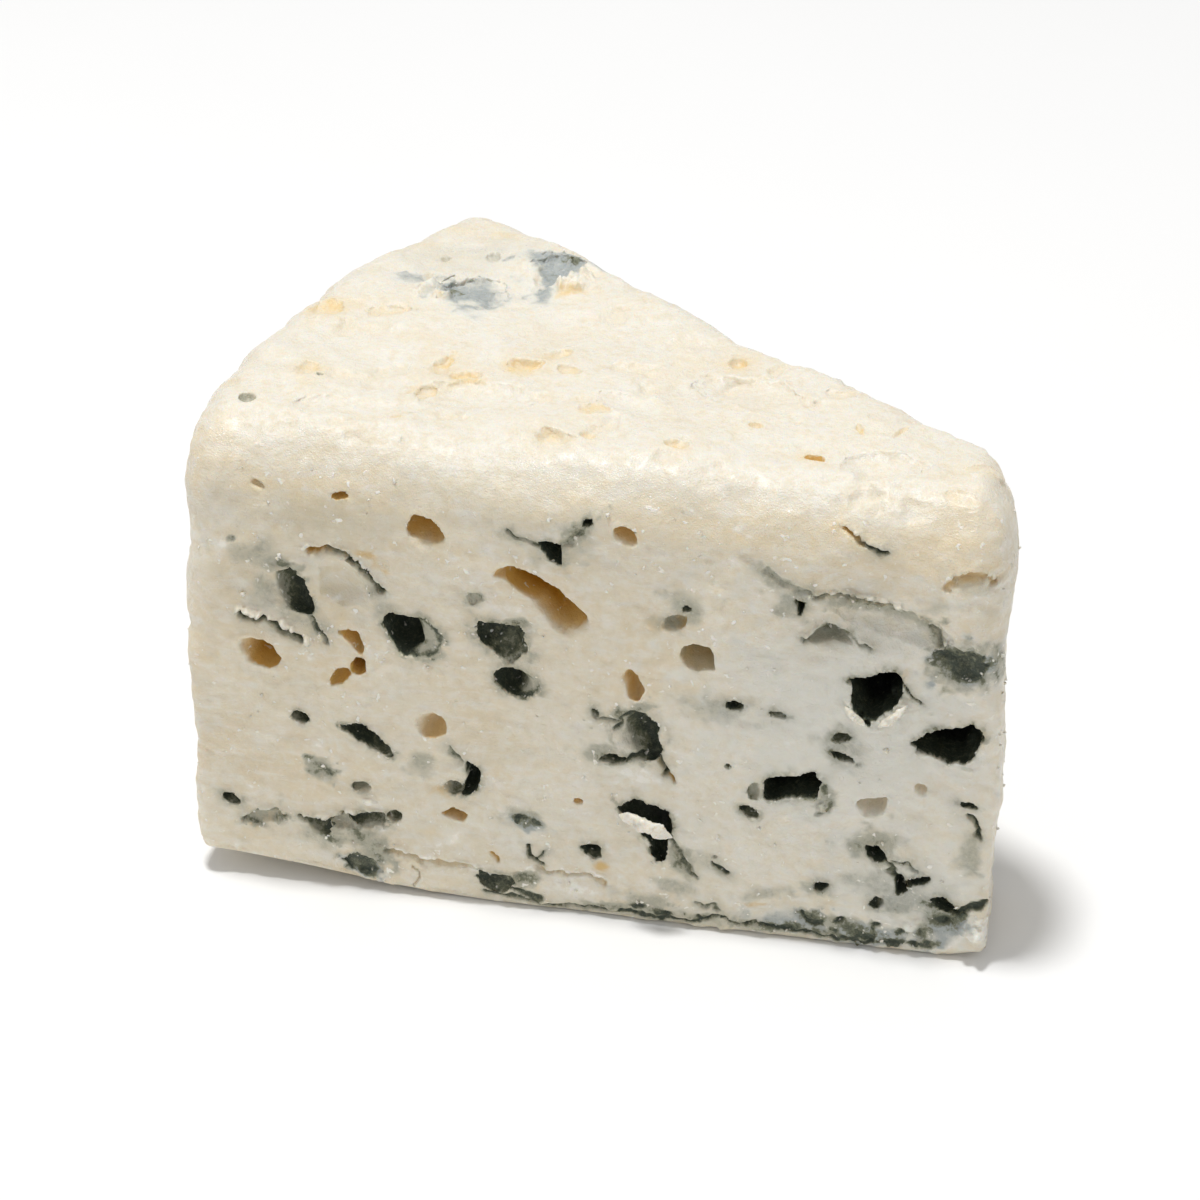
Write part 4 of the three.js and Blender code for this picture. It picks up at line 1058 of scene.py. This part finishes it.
def shape_faces(surface, wheel):
    """Opens the eyes, lays the marks and cuts the cracks of each face in turn. The front cut and the top
    are listed one by one, and so are the large eyes of the back cut. The rest lies by chance."""
    front, back, top, rind = (
        face(surface.rest, wheel) for face in (front_face, back_face, top_face, rind_face))
    front_curds = scattered_marks(31, 180, (-37, 3), (38, 46), (0.2, 0.6), "chalk", (0.8, 1.3))
    front_smears = scattered_marks(37, 45, (-37, 3), (38, 46), (0.8, 2.8), "chalk", (0.15, 0.45))
    back_eyes = scattered_eyes(41, 34, (28, 4), (92, 44), (0.5, 1.4), 0.65)
    back_marks = (
        scattered_marks(42, 26, (27, 3), (93, 44), (1.2, 4), "haze", (0.35, 0.9))
        + scattered_marks(43, 14, (27, 0.5), (93, 3), (1.5, 4), "mould", (0.6, 0.75))
        + scattered_marks(44, 9, (27, 3), (93, 42), (1.2, 3), "blue", (0.5, 1))
    )
    rind_eyes = scattered_eyes(51, 20, (-26, 5), (26, 44), (0.4, 1), 0.25)
    rind_marks = (
        scattered_marks(52, 22, (-28, 2), (28, 46), (2, 6), "tan", (0.25, 0.6))
        + scattered_marks(53, 12, (-19, 2), (26, 46), (1.5, 3.5), "blue", (0.4, 0.8))
    )
    for make, face, things, first_seed in (
        (open_eye, front, FRONT_EYES, 1000),
        (lay_mark, front, FRONT_MARKS + front_curds + front_smears, 2000),
        (cut_crack, front, FRONT_CRACKS, 3000),
        (open_eye, back, BACK_EYES + back_eyes, 4000),
        (lay_mark, back, back_marks, 5000),
        (open_eye, top, TOP_EYES, 6000),
        (lay_mark, top, TOP_MARKS, 6500),
        (open_eye, rind, rind_eyes, 7000),
        (lay_mark, rind, rind_marks, 7500),
    ):
        for number, thing in enumerate(things):
            make(surface, face, thing, first_seed + SEED_STEP * number)


# Heights of the relief's layers, and the covers that the hollows and the top have
SWELLS = 0.22
LUMPS = 0.12
SMALL_LUMPS = 0.07
SMEARS = 0.05
FINE_SMEARS = 0.03
DIMPLES = 0.20
PITS = 0.40
HOLLOW_TAN = 0.24
TOP_CHALK_AND_LIGHT = 0.62


def relief(surface, wheel):
    """Height of the cheese's own surface: broad swells and crumbly lumps over all faces, slanted smears
    where the wire drew through the paste, and dimples on the top and the rind, whose hollows are tan.
    The top is chalky, partly its paler crust and partly painted light that whitens it where the lamp
    falls, and its rounded edges are wet in patches."""
    rest = surface.rest
    top = smooth(surface.normal[:, 2], 0.35, 0.85)
    under = smooth(-surface.normal[:, 2], 0.5, 0.9)
    rho, _ = wheel.polar(rest)
    rind = smooth(rho, wheel.radius - 5, wheel.radius - 1)
    crust = np.maximum(top, rind)
    cut = 1 - crust

    swell = SWELLS * layered_noise(rest, 6.5, 11, layers=2)
    small_lumps = SMALL_LUMPS * layered_noise(rest, 1.0, 18, layers=2)
    lumps = LUMPS * layered_noise(rest, 2.2, 12, layers=2) + small_lumps
    slanted = rest @ np.array([[1, 0.16, -0.45], [0, 1, 0], [0.5, 0, 1]]).T
    fine_smears = FINE_SMEARS * noise(slanted, (2.0, 2.0, 0.45), 15)
    smears = SMEARS * noise(slanted, (4.0, 3.0, 0.9), 14) + fine_smears
    hollow = layered_noise(rest, 3.6, 16, layers=3)
    pits = PITS * smooth(hollow, 0.45, 1.0)
    dimples = DIMPLES * layered_noise(rest, (6.0, 3.2, 5.0), 19, layers=3) - pits
    height = swell + lumps + cut * smears + crust * dimples

    # The lower edges are broken and uneven
    foot = rest[:, 2] - wheel.lift_at(rho)
    broken = np.exp(-np.maximum(foot, 0) / 0.8) * (0.3 + 0.6 * layered_noise(rest, 1.3, 22, layers=3))
    height = height - (1 - under) * np.maximum(broken, -0.15)
    tan = crust * HOLLOW_TAN * smooth(hollow, 0.35, 0.95)
    surface.raise_to("tan", slice(None), tan.astype(np.float32))
    # The top's chalk is partly the crust's paler colour and partly painted light, whiter where the lamp
    # falls
    surface.raise_to("chalk", slice(None), (TOP_CHALK_AND_LIGHT * top).astype(np.float32))

    # Wet patches along the rounded edges of the top
    edge = bump(surface.normal[:, 2], 0.55, 0.35)
    surface.cover["wet"] = (edge * smooth(layered_noise(rest, 5.0, 20), -0.25, 0.4)).astype(np.float32)
    return height * (1 - 0.9 * under)


def box_move(points, low, high):
    """The move that gives the points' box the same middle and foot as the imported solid's box."""
    middle = (points.min(axis=0) + points.max(axis=0)) / 2
    move = (np.asarray(low) + np.asarray(high)) / 2 / MM - middle
    move[2] = low[2] / MM - points[:, 2].min()
    return move


# -------------------- Meshes --------------------

def ball_grid(around, up):
    """Directions of a ball on a grid: the angle round its axis by the angle from its foot to its head,
    with one point at each end. Also the triangles that close it, facing out."""
    turn, rise = np.meshgrid(
        np.linspace(0, 2 * math.pi, around, endpoint=False),
        np.linspace(0, math.pi, up + 1)[1:-1], indexing="ij")
    ring = np.stack([np.cos(turn) * np.sin(rise), np.sin(turn) * np.sin(rise), -np.cos(rise)], axis=-1)
    points = np.concatenate([ring.transpose(1, 0, 2).reshape(-1, 3), [[0, 0, -1.0], [0, 0, 1.0]]])
    i, j = np.meshgrid(np.arange(around), np.arange(up - 2), indexing="ij")
    i, j, after = i.ravel(), j.ravel(), (i.ravel() + 1) % around
    a, b, c, d = j * around + i, j * around + after, (j + 1) * around + after, (j + 1) * around + i
    foot, head, last = len(points) - 2, len(points) - 1, (up - 2) * around
    k = np.arange(around)
    after = (k + 1) % around
    faces = np.concatenate([
        np.stack([a, b, c], axis=1), np.stack([a, c, d], axis=1),
        np.stack([after, k, np.full(around, foot)], axis=1),
        np.stack([last + k, last + after, np.full(around, head)], axis=1),
    ])
    return points, faces


def lumpy_balls(middles, sizes, normals, seed, around=8, up=6):
    """Many small crumbs in one mesh. Each is a ball, stretched and turned at random, whose radius noise
    makes lumpy, and stands with its middle at the given place."""
    draw = np.random.default_rng(seed)
    ball, faces = ball_grid(around, up)
    count = len(middles)
    stretch = draw.uniform(0.5, 1.4, (count, 1, 3))
    spin = draw.normal(size=(count, 3, 3))
    spin = np.linalg.qr(spin)[0]
    spin[:, :, 0] *= np.sign(np.linalg.det(spin))[:, None]
    shape = ball[None] * stretch
    far = (ball[None] * 1.3 + 40 * draw.random((count, 1, 3))).reshape(-1, 3)
    lumps = 1 + 0.8 * layered_noise(far, 0.8, seed, layers=2).reshape(count, -1, 1)
    points = np.einsum("nij,npj->npi", spin, shape * lumps) * sizes[:, None, None]
    points += (middles + normals * 0.25 * sizes[:, None])[:, None]
    number = np.arange(count)[:, None, None] * len(ball)
    return points.reshape(-1, 3), (faces[None] + number).reshape(-1, 3)


# How far ahead and behind a flake's path is read for its direction, and the first flake's seed
FLAKE_LOOK = 0.3
FLAKE_SEED = 80


def flake_points(flake, seed, around=14, up=40):
    """A flake: an ellipse swept along a path through its points, tapering to nothing as a ball does at
    both ends. Its points are (u, v, height above the face)."""
    ball, faces = ball_grid(around, up)
    path = np.asarray(flake.path, float)
    step = np.concatenate([[0], np.cumsum(np.linalg.norm(np.diff(path, axis=0), axis=1))])
    t = (np.arccos(np.clip(-ball[:, 2], -1, 1)) / math.pi) * step[-1]
    behind, middle, ahead = (
        np.stack([np.interp(t + move, step, path[:, k]) for k in range(3)], axis=1)
        for move in (-FLAKE_LOOK, 0, FLAKE_LOOK))
    run = ahead - behind
    run /= np.linalg.norm(run, axis=1, keepdims=True)
    side = np.stack([-run[:, 1], run[:, 0], 0 * t], axis=1)
    side /= np.linalg.norm(side, axis=1, keepdims=True)
    # Ends taper over a short stretch, and the middle keeps its width
    full = np.sqrt(np.clip(1 - ball[:, 2] ** 6, 0, 1))
    ring = np.hypot(ball[:, 0], ball[:, 1])
    across, out = (np.where(ring > 0, ball[:, k] / np.maximum(ring, 1e-9), 0) * full for k in (0, 1))
    ragged = 1 + 0.45 * layered_noise(middle + side * across[:, None], 0.7, seed, layers=3)
    local = middle + side * (across * flake.width * ragged)[:, None]
    local[:, 2] += out * flake.thick * (1 + 0.7 * layered_noise(local, 0.5, seed + 9, layers=2))
    return local, faces


def write_mesh(name, points, faces, covers=None, smooth_shaded=False):
    """A mesh object from points in millimetres, with a point attribute for each cover."""
    mesh = bpy.data.meshes.new(name)
    mesh.vertices.add(len(points))
    mesh.vertices.foreach_set("co", (points * MM).astype(np.float32).ravel())
    sides = faces.shape[1]
    mesh.loops.add(faces.size)
    mesh.loops.foreach_set("vertex_index", faces.astype(np.int32).ravel())
    mesh.polygons.add(len(faces))
    mesh.polygons.foreach_set("loop_start", np.arange(0, faces.size, sides, dtype=np.int32))
    mesh.polygons.foreach_set("loop_total", np.full(len(faces), sides, np.int32))
    mesh.polygons.foreach_set("use_smooth", np.full(len(faces), smooth_shaded))
    for key, values in (covers or {}).items():
        attribute = mesh.attributes.new(key, "FLOAT", "POINT")
        attribute.data.foreach_set("value", values.astype(np.float32))
    mesh.update()
    mesh.validate()
    piece = bpy.data.objects.new(name, mesh)
    bpy.context.collection.objects.link(piece)
    return piece


def vertex_values(items, name, parts, kind=np.float32):
    """One value of every vertex, corner or polygon, as rows if it has several parts."""
    values = np.empty(len(items) * parts, kind)
    items.foreach_get(name, values)
    return values.reshape(-1, parts) if parts > 1 else values


# How much weight the finest detail loses, and how much the weights count beside the shape
DETAIL_LOSS = 0.9
WEIGHT_SHARE = 1e-5


def thin_out(piece, triangles, detail, levels=6):
    """Collapses edges where the surface is plainest until this many triangles are left. Where detail
    goes from 0 to 1, in whole levels, long edges count as less plain."""
    group = piece.vertex_groups.new(name="plain")
    level = np.round(np.clip(detail, 0, 1) * levels).astype(int)
    for number in range(levels + 1):
        rows = np.nonzero(level == number)[0]
        group.add(rows.tolist(), 1 - DETAIL_LOSS * number / levels, "REPLACE")
    piece.data.calc_loop_triangles()
    modifier = piece.modifiers.new("thin", "DECIMATE")
    modifier.ratio = min(1.0, triangles / len(piece.data.loop_triangles))
    modifier.vertex_group = group.name
    modifier.vertex_group_factor = WEIGHT_SHARE
    graph = bpy.context.evaluated_depsgraph_get()
    thinned = bpy.data.meshes.new_from_object(piece.evaluated_get(graph))
    piece.modifiers.clear()
    piece.vertex_groups.clear()
    old = piece.data
    piece.data = thinned
    bpy.data.meshes.remove(old)
    thinned.name = piece.name
    thinned.polygons.foreach_set("use_smooth", np.ones(len(thinned.polygons), bool))
    thinned.update()


# -------------------- Materials --------------------

class Nodes:
    """A new material on the standard shader, and short ways to lay out its nodes."""

    def __init__(self, name):
        self.material = bpy.data.materials.new(name)
        self.material.use_nodes = True
        self.tree = self.material.node_tree
        self.shader = self.tree.nodes["Principled BSDF"]
        self.place = self.tree.nodes.new("ShaderNodeTexCoord").outputs["Object"]

    def link(self, source, socket):
        """Feeds a socket from another socket or a plain value."""
        if isinstance(source, bpy.types.NodeSocket):
            self.tree.links.new(source, socket)
        elif hasattr(source, "__len__") and len(source) == 3 and socket.type == "RGBA":
            socket.default_value = (*source, 1.0)
        else:
            socket.default_value = source

    def add(self, kind, output, inputs, **settings):
        """A node with these settings and its inputs fed, as one of its outputs."""
        node = self.tree.nodes.new("ShaderNode" + kind)
        for key, value in settings.items():
            setattr(node, key, value)
        for key, value in inputs.items():
            self.link(value, node.inputs[key])
        return node.outputs[output]

    def cover(self, name):
        """The value of a point attribute."""
        return self.add("Attribute", "Fac", {}, attribute_name=name)

    def maths(self, operation, a, b, clamp=False):
        """A sum on two values."""
        return self.add("Math", 0, {0: a, 1: b}, operation=operation, use_clamp=clamp)

    def times(self, a, b):
        """The product of two values."""
        return self.maths("MULTIPLY", a, b)

    def mix(self, low, high, share):
        """From one colour to another."""
        node = self.tree.nodes.new("ShaderNodeMix")
        node.data_type = "RGBA"
        for key, value in (("Factor", share), ("A", low), ("B", high)):
            self.link(value, node.inputs[key])
        return [output for output in node.outputs if output.type == "RGBA"][0]

    def step(self, value, low, high, start=0.0, end=1.0):
        """A smooth step of a value from start to end."""
        ends = {"From Min": low, "From Max": high, "To Min": start, "To Max": end}
        return self.add("MapRange", "Result", {"Value": value, **ends}, interpolation_type="SMOOTHSTEP")

    def noise(self, size, detail=2.0, rough=0.55, place=None, warp=0.0):
        """Noise whose features are about size millimetres across."""
        return self.add("TexNoise", "Fac", {
            "Scale": 1 / (size * MM), "Detail": detail, "Roughness": rough, "Distortion": warp,
            "Vector": place or self.place,
        })

    def bump(self, height, strength, distance, under=None):
        """A relief of height 0 to 1 that is distance millimetres high."""
        over = {} if under is None else {"Normal": under}
        return self.add(
            "Bump", "Normal", {"Strength": strength, "Distance": distance * MM, "Height": height, **over})

    def moist(self, weight, scale, radius=(1.0, 0.72, 0.45)):
        """Light that goes into the paste and comes out again, scale millimetres away."""
        for key, value in (("Weight", weight), ("Radius", radius), ("Scale", scale * MM)):
            self.shader.inputs[f"Subsurface {key}"].default_value = value


def paste_material(look):
    """Moist ivory paste. Covers from the mesh say where mould, bloom, amber, tan and chalk lie, and
    noise breaks up their edges and their colour."""
    nodes = Nodes(PASTE_SLOT)
    broad = nodes.noise(9, 3)
    middle = nodes.noise(2.0, 4, 0.6, warp=0.4)
    small = nodes.noise(0.9, 4, 0.65)
    fine = nodes.noise(0.4, 4, 0.65)
    dots = nodes.noise(0.15, 2, 0.5)
    slanted = {"Scale": (0.3, 0.5, 1.0), "Rotation": (0, math.radians(28), 0), "Vector": nodes.place}
    smeared = nodes.noise(1.0, 3, 0.6, nodes.add("Mapping", "Vector", slanted), warp=0.5)
    cave, bloom, wet, chalk = (nodes.cover(name) for name in ("cave", "blue", "wet", "chalk"))

    # Clean paste, with whiter smears and beige patches
    surface = look.paste
    for tint, pattern, low, high, most in (
        (look.paste_warm, broad, 0.44, 0.64, 0.9),
        (look.paste_pale, smeared, 0.44, 0.70, 0.65),
        (look.paste_warm, middle, 0.52, 0.68, 0.65),
        (look.paste_pale, small, 0.46, 0.70, 0.55),
        (look.shade, small, 0.50, 0.30, 0.28),
    ):
        surface = nodes.mix(surface, tint, nodes.step(pattern, low, high, 0, most))

    # Pale chalk and tan crust. On the top the chalk is partly painted light, whiter where the lamp falls
    white = nodes.mix(look.paste_pale, look.curd_white_and_glint, nodes.step(chalk, 0.62, 1.0))
    surface = nodes.mix(surface, white, nodes.times(chalk, nodes.step(small, 0.35, 0.6, 0.4, 1.1)))
    tan = nodes.times(nodes.cover("tan"), nodes.step(middle, 0.32, 0.60, 0.3, 0.95))
    tan = nodes.times(tan, nodes.step(small, 0.32, 0.62, 0.5, 1.1))
    surface = nodes.mix(surface, look.tan, tan)

    # Amber walls of clean pockets, partly their own moist colour and partly a painted glow of light through
    # the translucent paste, and darker with depth, partly painted shade
    amber = nodes.mix(look.amber, look.dark_amber_and_depth_shade, nodes.step(cave, 0.02, 0.5))
    surface = nodes.mix(surface, amber, nodes.step(nodes.cover("amber"), 0.02, 0.85))

    # Mould, from a grey veil through olive to green-black velvet, as one growing amount that noise
    # makes patchy
    surface = nodes.mix(surface, look.cool, nodes.step(bloom, 0.0, 0.13, 0, 0.68))
    grown = nodes.maths("ADD", nodes.cover("mould"), nodes.step(bloom, 0.07, 0.34, 0, 0.31))
    patchy = nodes.step(middle, 0.32, 0.66, 0.78, 1.16)
    patchy = nodes.maths("ADD", patchy, nodes.step(small, 0.3, 0.7, -0.14, 0.14))
    grown = nodes.times(grown, patchy)
    grain = nodes.step(grown, 0.05, 0.45, 0, 0.75)
    grown = nodes.maths("ADD", grown, nodes.times(nodes.maths("SUBTRACT", fine, 0.5), grain))
    veil = nodes.mix(look.haze, look.blue, nodes.step(bloom, 0.02, 0.3))
    surface = nodes.mix(surface, veil, nodes.step(grown, -0.04, 0.34))
    surface = nodes.mix(surface, look.olive, nodes.step(grown, 0.34, 0.60))
    velvet = nodes.mix(look.mould, look.olive, nodes.step(fine, 0.48, 0.66, 0, 0.50))
    # Deep in an eye the velvet turns near black: dark mould and painted shade
    velvet = nodes.mix(velvet, look.dark_mould_and_depth_shade, nodes.step(cave, 0.25, 0.85))
    surface = nodes.mix(surface, velvet, nodes.step(grown, 0.54, 0.80))

    # White specks of salt and curd, partly painted glints of the moist surface
    specks_and_glints = nodes.step(nodes.noise(0.7, 1, 0.5, warp=0.2), 0.66, 0.74)
    for pattern, low, high in ((middle, 0.44, 0.56), (cave, 0.6, 0.1), (chalk, 0.6, 0.2)):
        specks_and_glints = nodes.times(specks_and_glints, nodes.step(pattern, low, high))
    surface = nodes.mix(surface, look.curd_white_and_glint, specks_and_glints)
    nodes.link(surface, nodes.shader.inputs["Base Color"])

    # Moist sheen: smooth where wet, dull on mould
    rough = nodes.step(small, 0.35, 0.70, 0.50, 0.28)
    rough = nodes.maths("SUBTRACT", rough, nodes.times(wet, 0.20), clamp=True)
    rough = nodes.maths("ADD", rough, nodes.step(grown, 0.3, 0.8, 0, 0.22), clamp=True)
    nodes.link(nodes.maths("MAXIMUM", rough, 0.09), nodes.shader.inputs["Roughness"])

    # Brushed smooth where wet, with fine glints
    grain = nodes.step(wet, 0.1, 0.9, 1.0, 0.6)
    glints = nodes.times(dots, nodes.step(wet, 0.1, 0.9, 1.0, 1.8))
    normal = None
    for height, strength, distance in (
        (nodes.times(small, grain), 0.8, 0.16),
        (nodes.times(fine, grain), 0.9, 0.13),
        (glints, 0.8, 0.06),
        (specks_and_glints, 0.8, 0.07),
    ):
        normal = nodes.bump(height, strength, distance, normal)
    nodes.link(normal, nodes.shader.inputs["Normal"])

    nodes.link(nodes.times(wet, 0.2), nodes.shader.inputs["Coat Weight"])
    nodes.shader.inputs["Coat Roughness"].default_value = 0.22
    nodes.shader.inputs["Specular IOR Level"].default_value = 0.5
    nodes.moist(0.35, 1.0)
    return nodes.material


def crumb_material(look):
    """Pale crumbly paste, with the faintest grey where the cover says."""
    nodes = Nodes(CRUMB_PASTE)
    fine = nodes.noise(0.3, 3, 0.6)
    paste = nodes.mix(look.paste, look.paste_pale, nodes.step(fine, 0.35, 0.55))
    grey = nodes.times(nodes.cover("mould"), nodes.step(fine, 0.35, 0.65, 0.2, 1.2))
    nodes.link(nodes.mix(paste, look.haze, grey), nodes.shader.inputs["Base Color"])
    nodes.link(nodes.step(fine, 0.3, 0.7, 0.22, 0.5), nodes.shader.inputs["Roughness"])
    nodes.link(nodes.bump(fine, 0.6, 0.08), nodes.shader.inputs["Normal"])
    nodes.moist(0.3, 0.6)
    return nodes.material


def floor_material(studio):
    """Plain matt floor with the faintest unevenness."""
    nodes = Nodes("studio_floor")
    shade = nodes.mix(studio.floor, [0.98 * value for value in studio.floor], nodes.noise(60, 2))
    nodes.link(shade, nodes.shader.inputs["Base Color"])
    nodes.shader.inputs["Roughness"].default_value = 0.7
    nodes.shader.inputs["Specular IOR Level"].default_value = 0.2
    return nodes.material


# -------------------- Operators --------------------

# The lattice is evenly spaced on the arc at this part of the wheel's radius
EVEN_AT = 0.62


def shaped_surface(shape):
    """The wedge's dense surface with everything sunk into it, in its box."""
    wheel = Wheel(shape)
    step = mm(shape.lattice_step)
    steps = (
        round((wheel.radius - wheel.nose) / step),
        round(EVEN_AT * wheel.radius * wheel.angle / step),
        round(wheel.height / step),
    )
    block, quads = block_lattice(steps)
    surface = Surface(wedge_points(block, wheel), quads)
    shape_faces(surface, wheel)
    shift = surface.shift + surface.normal * relief(surface, wheel)[:, None]
    points = surface.rest + shift
    surface.points = points + box_move(points, CAD_LOW, CAD_HIGH)
    surface.points[:, 2] = np.maximum(surface.points[:, 2], 0)
    return surface


def take_place(piece, material):
    """Gives a piece its material and its part in the wedge."""
    piece.data.materials.append(material)
    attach(piece, "root")
    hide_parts(CHEESE)


class CHEESE_OT_wedge(bpy.types.Operator):
    """Build the wedge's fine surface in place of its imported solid"""

    bl_idname = "cheese.wedge"
    bl_label = "Wedge"

    def execute(self, context):
        """Surface, thinning and material"""
        scene = context.scene
        surface = shaped_surface(scene.cheese_shape)
        piece = write_mesh(SURFACE, surface.points, surface.quads, surface.cover)
        thin_out(piece, scene.cheese_shape.triangles, surface.detail())
        take_place(piece, paste_material(scene.cheese_look))
        return {"FINISHED"}


class CHEESE_OT_flakes(bpy.types.Operator):
    """Build the loose flakes of paste that stand over the eyes of the front cut"""

    bl_idname = "cheese.flakes"
    bl_label = "Flakes"

    def execute(self, context):
        """All flakes as one mesh, set on the front cut"""
        scene = context.scene
        wheel = Wheel(scene.cheese_shape)
        parts = [flake_points(flake, FLAKE_SEED + number) for number, flake in enumerate(FRONT_FLAKES)]
        local = np.concatenate([part[0] for part in parts])
        points = np.stack([local[:, 0], wheel.y - local[:, 2], local[:, 1]], axis=1)
        start = np.cumsum([0] + [len(part[0]) for part in parts])
        # (u, height, v) is a left-handed frame, so the triangles turn over
        faces = np.concatenate([part[1][:, ::-1] + first for part, first in zip(parts, start)])
        grey = 0.5 * smooth(layered_noise(points, 1.5, 90), -0.3, 0.6)
        piece = write_mesh("cheese_flakes", points, faces, {"mould": grey}, True)
        take_place(piece, crumb_material(scene.cheese_look))
        return {"FINISHED"}


# How many crumbs lie anywhere, on the front cut, in its clumps, at its foot and at the ends of the wedge
CRUMBS_ANYWHERE = 0.05
CRUMBS_FRONT = 0.3
CRUMBS_CLUMP = 1.5
CRUMBS_FOOT_REACH = 2.5
CRUMBS_ENDS = 0.8
CRUMB_SEED = 7


class CHEESE_OT_crumbs(bpy.types.Operator):
    """Scatter loose crumbs over the finished surface"""

    bl_idname = "cheese.crumbs"
    bl_label = "Crumbs"

    def execute(self, context):
        """Most crumbs lie on the front cut, in clumps, along its edges and near its foot"""
        scene = context.scene
        settings = scene.cheese_crumbs
        if SURFACE not in bpy.data.objects:
            self.report({"ERROR"}, "Build the wedge first")
            raise RuntimeError("The crumbs lie on the wedge, which is not built")
        mesh = bpy.data.objects[SURFACE].data
        place = vertex_values(mesh.vertices, "co", 3) / MM
        normal = vertex_values(mesh.vertices, "normal", 3)
        cave = vertex_values(mesh.attributes["cave"].data, "value", 1)
        corner = vertex_values(mesh.loops, "vertex_index", 1, np.int32)
        sides = vertex_values(mesh.polygons, "loop_total", 1, np.int32)
        area = vertex_values(mesh.polygons, "area", 1)
        room = np.bincount(corner, np.repeat(area, sides), len(place))

        front = smooth(-normal[:, 1], 0.5, 0.9)
        side = smooth(np.abs(normal[:, 0]), 0.3, 0.9)
        clump = smooth(layered_noise(place, 4.0, 60), 0.0, 0.8)
        foot = np.exp(-place[:, 2] / CRUMBS_FOOT_REACH)
        weight = CRUMBS_ANYWHERE + front * (CRUMBS_FRONT + CRUMBS_CLUMP * clump + foot)
        weight = weight + CRUMBS_ENDS * side * smooth(np.abs(place[:, 0]), 33, 39)
        weight = room * weight * (np.abs(normal[:, 2]) < 0.45) * (cave < 0.05) * (place[:, 2] > 1)

        draw = np.random.default_rng(CRUMB_SEED)
        rows = draw.choice(len(place), settings.count, replace=False, p=weight / weight.sum())
        sizes = mm(settings.size) / 2 * draw.lognormal(-0.5, 0.4, settings.count)
        points, faces = lumpy_balls(place[rows], sizes, normal[rows], 61)
        piece = write_mesh("cheese_crumbs", points, faces, {"mould": np.zeros(len(points))}, True)
        take_place(piece, bpy.data.materials.get(CRUMB_PASTE) or crumb_material(scene.cheese_look))
        return {"FINISHED"}


# Half the floor's width in millimetres, and the lamp's width and place in metres
FLOOR_HALF = 2000.0
LAMP_SIZE = 0.12
LAMP_PLACE = (-0.10, -0.045, 0.85)
SKY_COLOUR = (1.0, 0.995, 0.985, 1.0)
SENSOR_WIDTH = 36.0


class CHEESE_OT_stage(bpy.types.Operator):
    """Build the floor, the lamp, the even surround and the camera"""

    bl_idname = "cheese.stage"
    bl_label = "Stage"

    def execute(self, context):
        """A large floor, one large lamp overhead, an even white surround and the camera"""
        scene = context.scene
        studio = scene.cheese_studio
        corners = FLOOR_HALF * np.array([[-1, -1, 0], [1, -1, 0], [1, 1, 0], [-1, 1, 0]])
        floor = write_mesh("studio_floor", corners, np.array([[0, 1, 2, 3]]))
        floor.data.materials.append(floor_material(studio))

        lamp_data = bpy.data.lights.new("key_lamp", "AREA")
        lamp_data.shape = "DISK"
        lamp_data.size = LAMP_SIZE
        lamp_data.energy = studio.key
        lamp = bpy.data.objects.new("key_lamp", lamp_data)
        lamp.location = LAMP_PLACE
        lamp.rotation_euler = (-lamp.location).to_track_quat("-Z", "Y").to_euler()
        scene.collection.objects.link(lamp)

        world = bpy.data.worlds.new("even_light")
        world.use_nodes = True
        background = world.node_tree.nodes["Background"]
        background.inputs["Color"].default_value = SKY_COLOUR
        background.inputs["Strength"].default_value = studio.sky
        scene.world = world

        camera_data = bpy.data.cameras.new("camera")
        camera_data.lens = studio.lens
        camera_data.sensor_width = SENSOR_WIDTH
        camera_data.clip_start = 0.01
        camera = bpy.data.objects.new("camera", camera_data)
        aim = Vector((studio.aim_x, 0.0, studio.aim_z))
        back = Vector((
            math.sin(studio.yaw) * math.cos(studio.pitch),
            -math.cos(studio.yaw) * math.cos(studio.pitch),
            math.sin(studio.pitch),
        ))
        camera.location = aim + studio.distance * back
        camera.rotation_euler = (-back).to_track_quat("-Z", "Y").to_euler()
        scene.collection.objects.link(camera)
        scene.camera = camera
        scene.view_settings.view_transform = "Standard"
        return {"FINISHED"}


class CHEESE_PT_panel(bpy.types.Panel):
    """Lists the settings and the steps"""

    bl_idname = "CHEESE_PT_panel"
    bl_label = "Blue cheese wedge"
    bl_space_type = "VIEW_3D"
    bl_region_type = "UI"
    bl_category = "Cheese"

    def draw(self, context):
        """One box of settings for each group, then a button for each step"""
        for name in GROUPS:
            group = getattr(context.scene, name)
            box = self.layout.box()
            for key in group.__annotations__:
                box.prop(group, key)
        for step in STEPS:
            self.layout.operator(step)


GROUPS = {
    "cheese_shape": WedgeShape,
    "cheese_look": PasteLook,
    "cheese_crumbs": CrumbSettings,
    "cheese_studio": StudioSettings,
}
STEPS = ("cheese.wedge", "cheese.flakes", "cheese.crumbs", "cheese.stage")
CLASSES = (
    *GROUPS.values(), CHEESE_OT_wedge, CHEESE_OT_flakes, CHEESE_OT_crumbs, CHEESE_OT_stage, CHEESE_PT_panel,
)


def register():
    """Registers the classes and hangs the settings on the scene"""
    for cls in CLASSES:
        bpy.utils.register_class(cls)
    for name, group in GROUPS.items():
        setattr(bpy.types.Scene, name, bpy.props.PointerProperty(type=group))


def unregister():
    """Takes the settings and the classes away again"""
    for name in GROUPS:
        delattr(bpy.types.Scene, name)
    for cls in reversed(CLASSES):
        bpy.utils.unregister_class(cls)


def main():
    """Registers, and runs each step"""
    register()
    for step in STEPS:
        group, name = step.split(".")
        getattr(getattr(bpy.ops, group), name)()


if __name__ == "__main__":
    main()
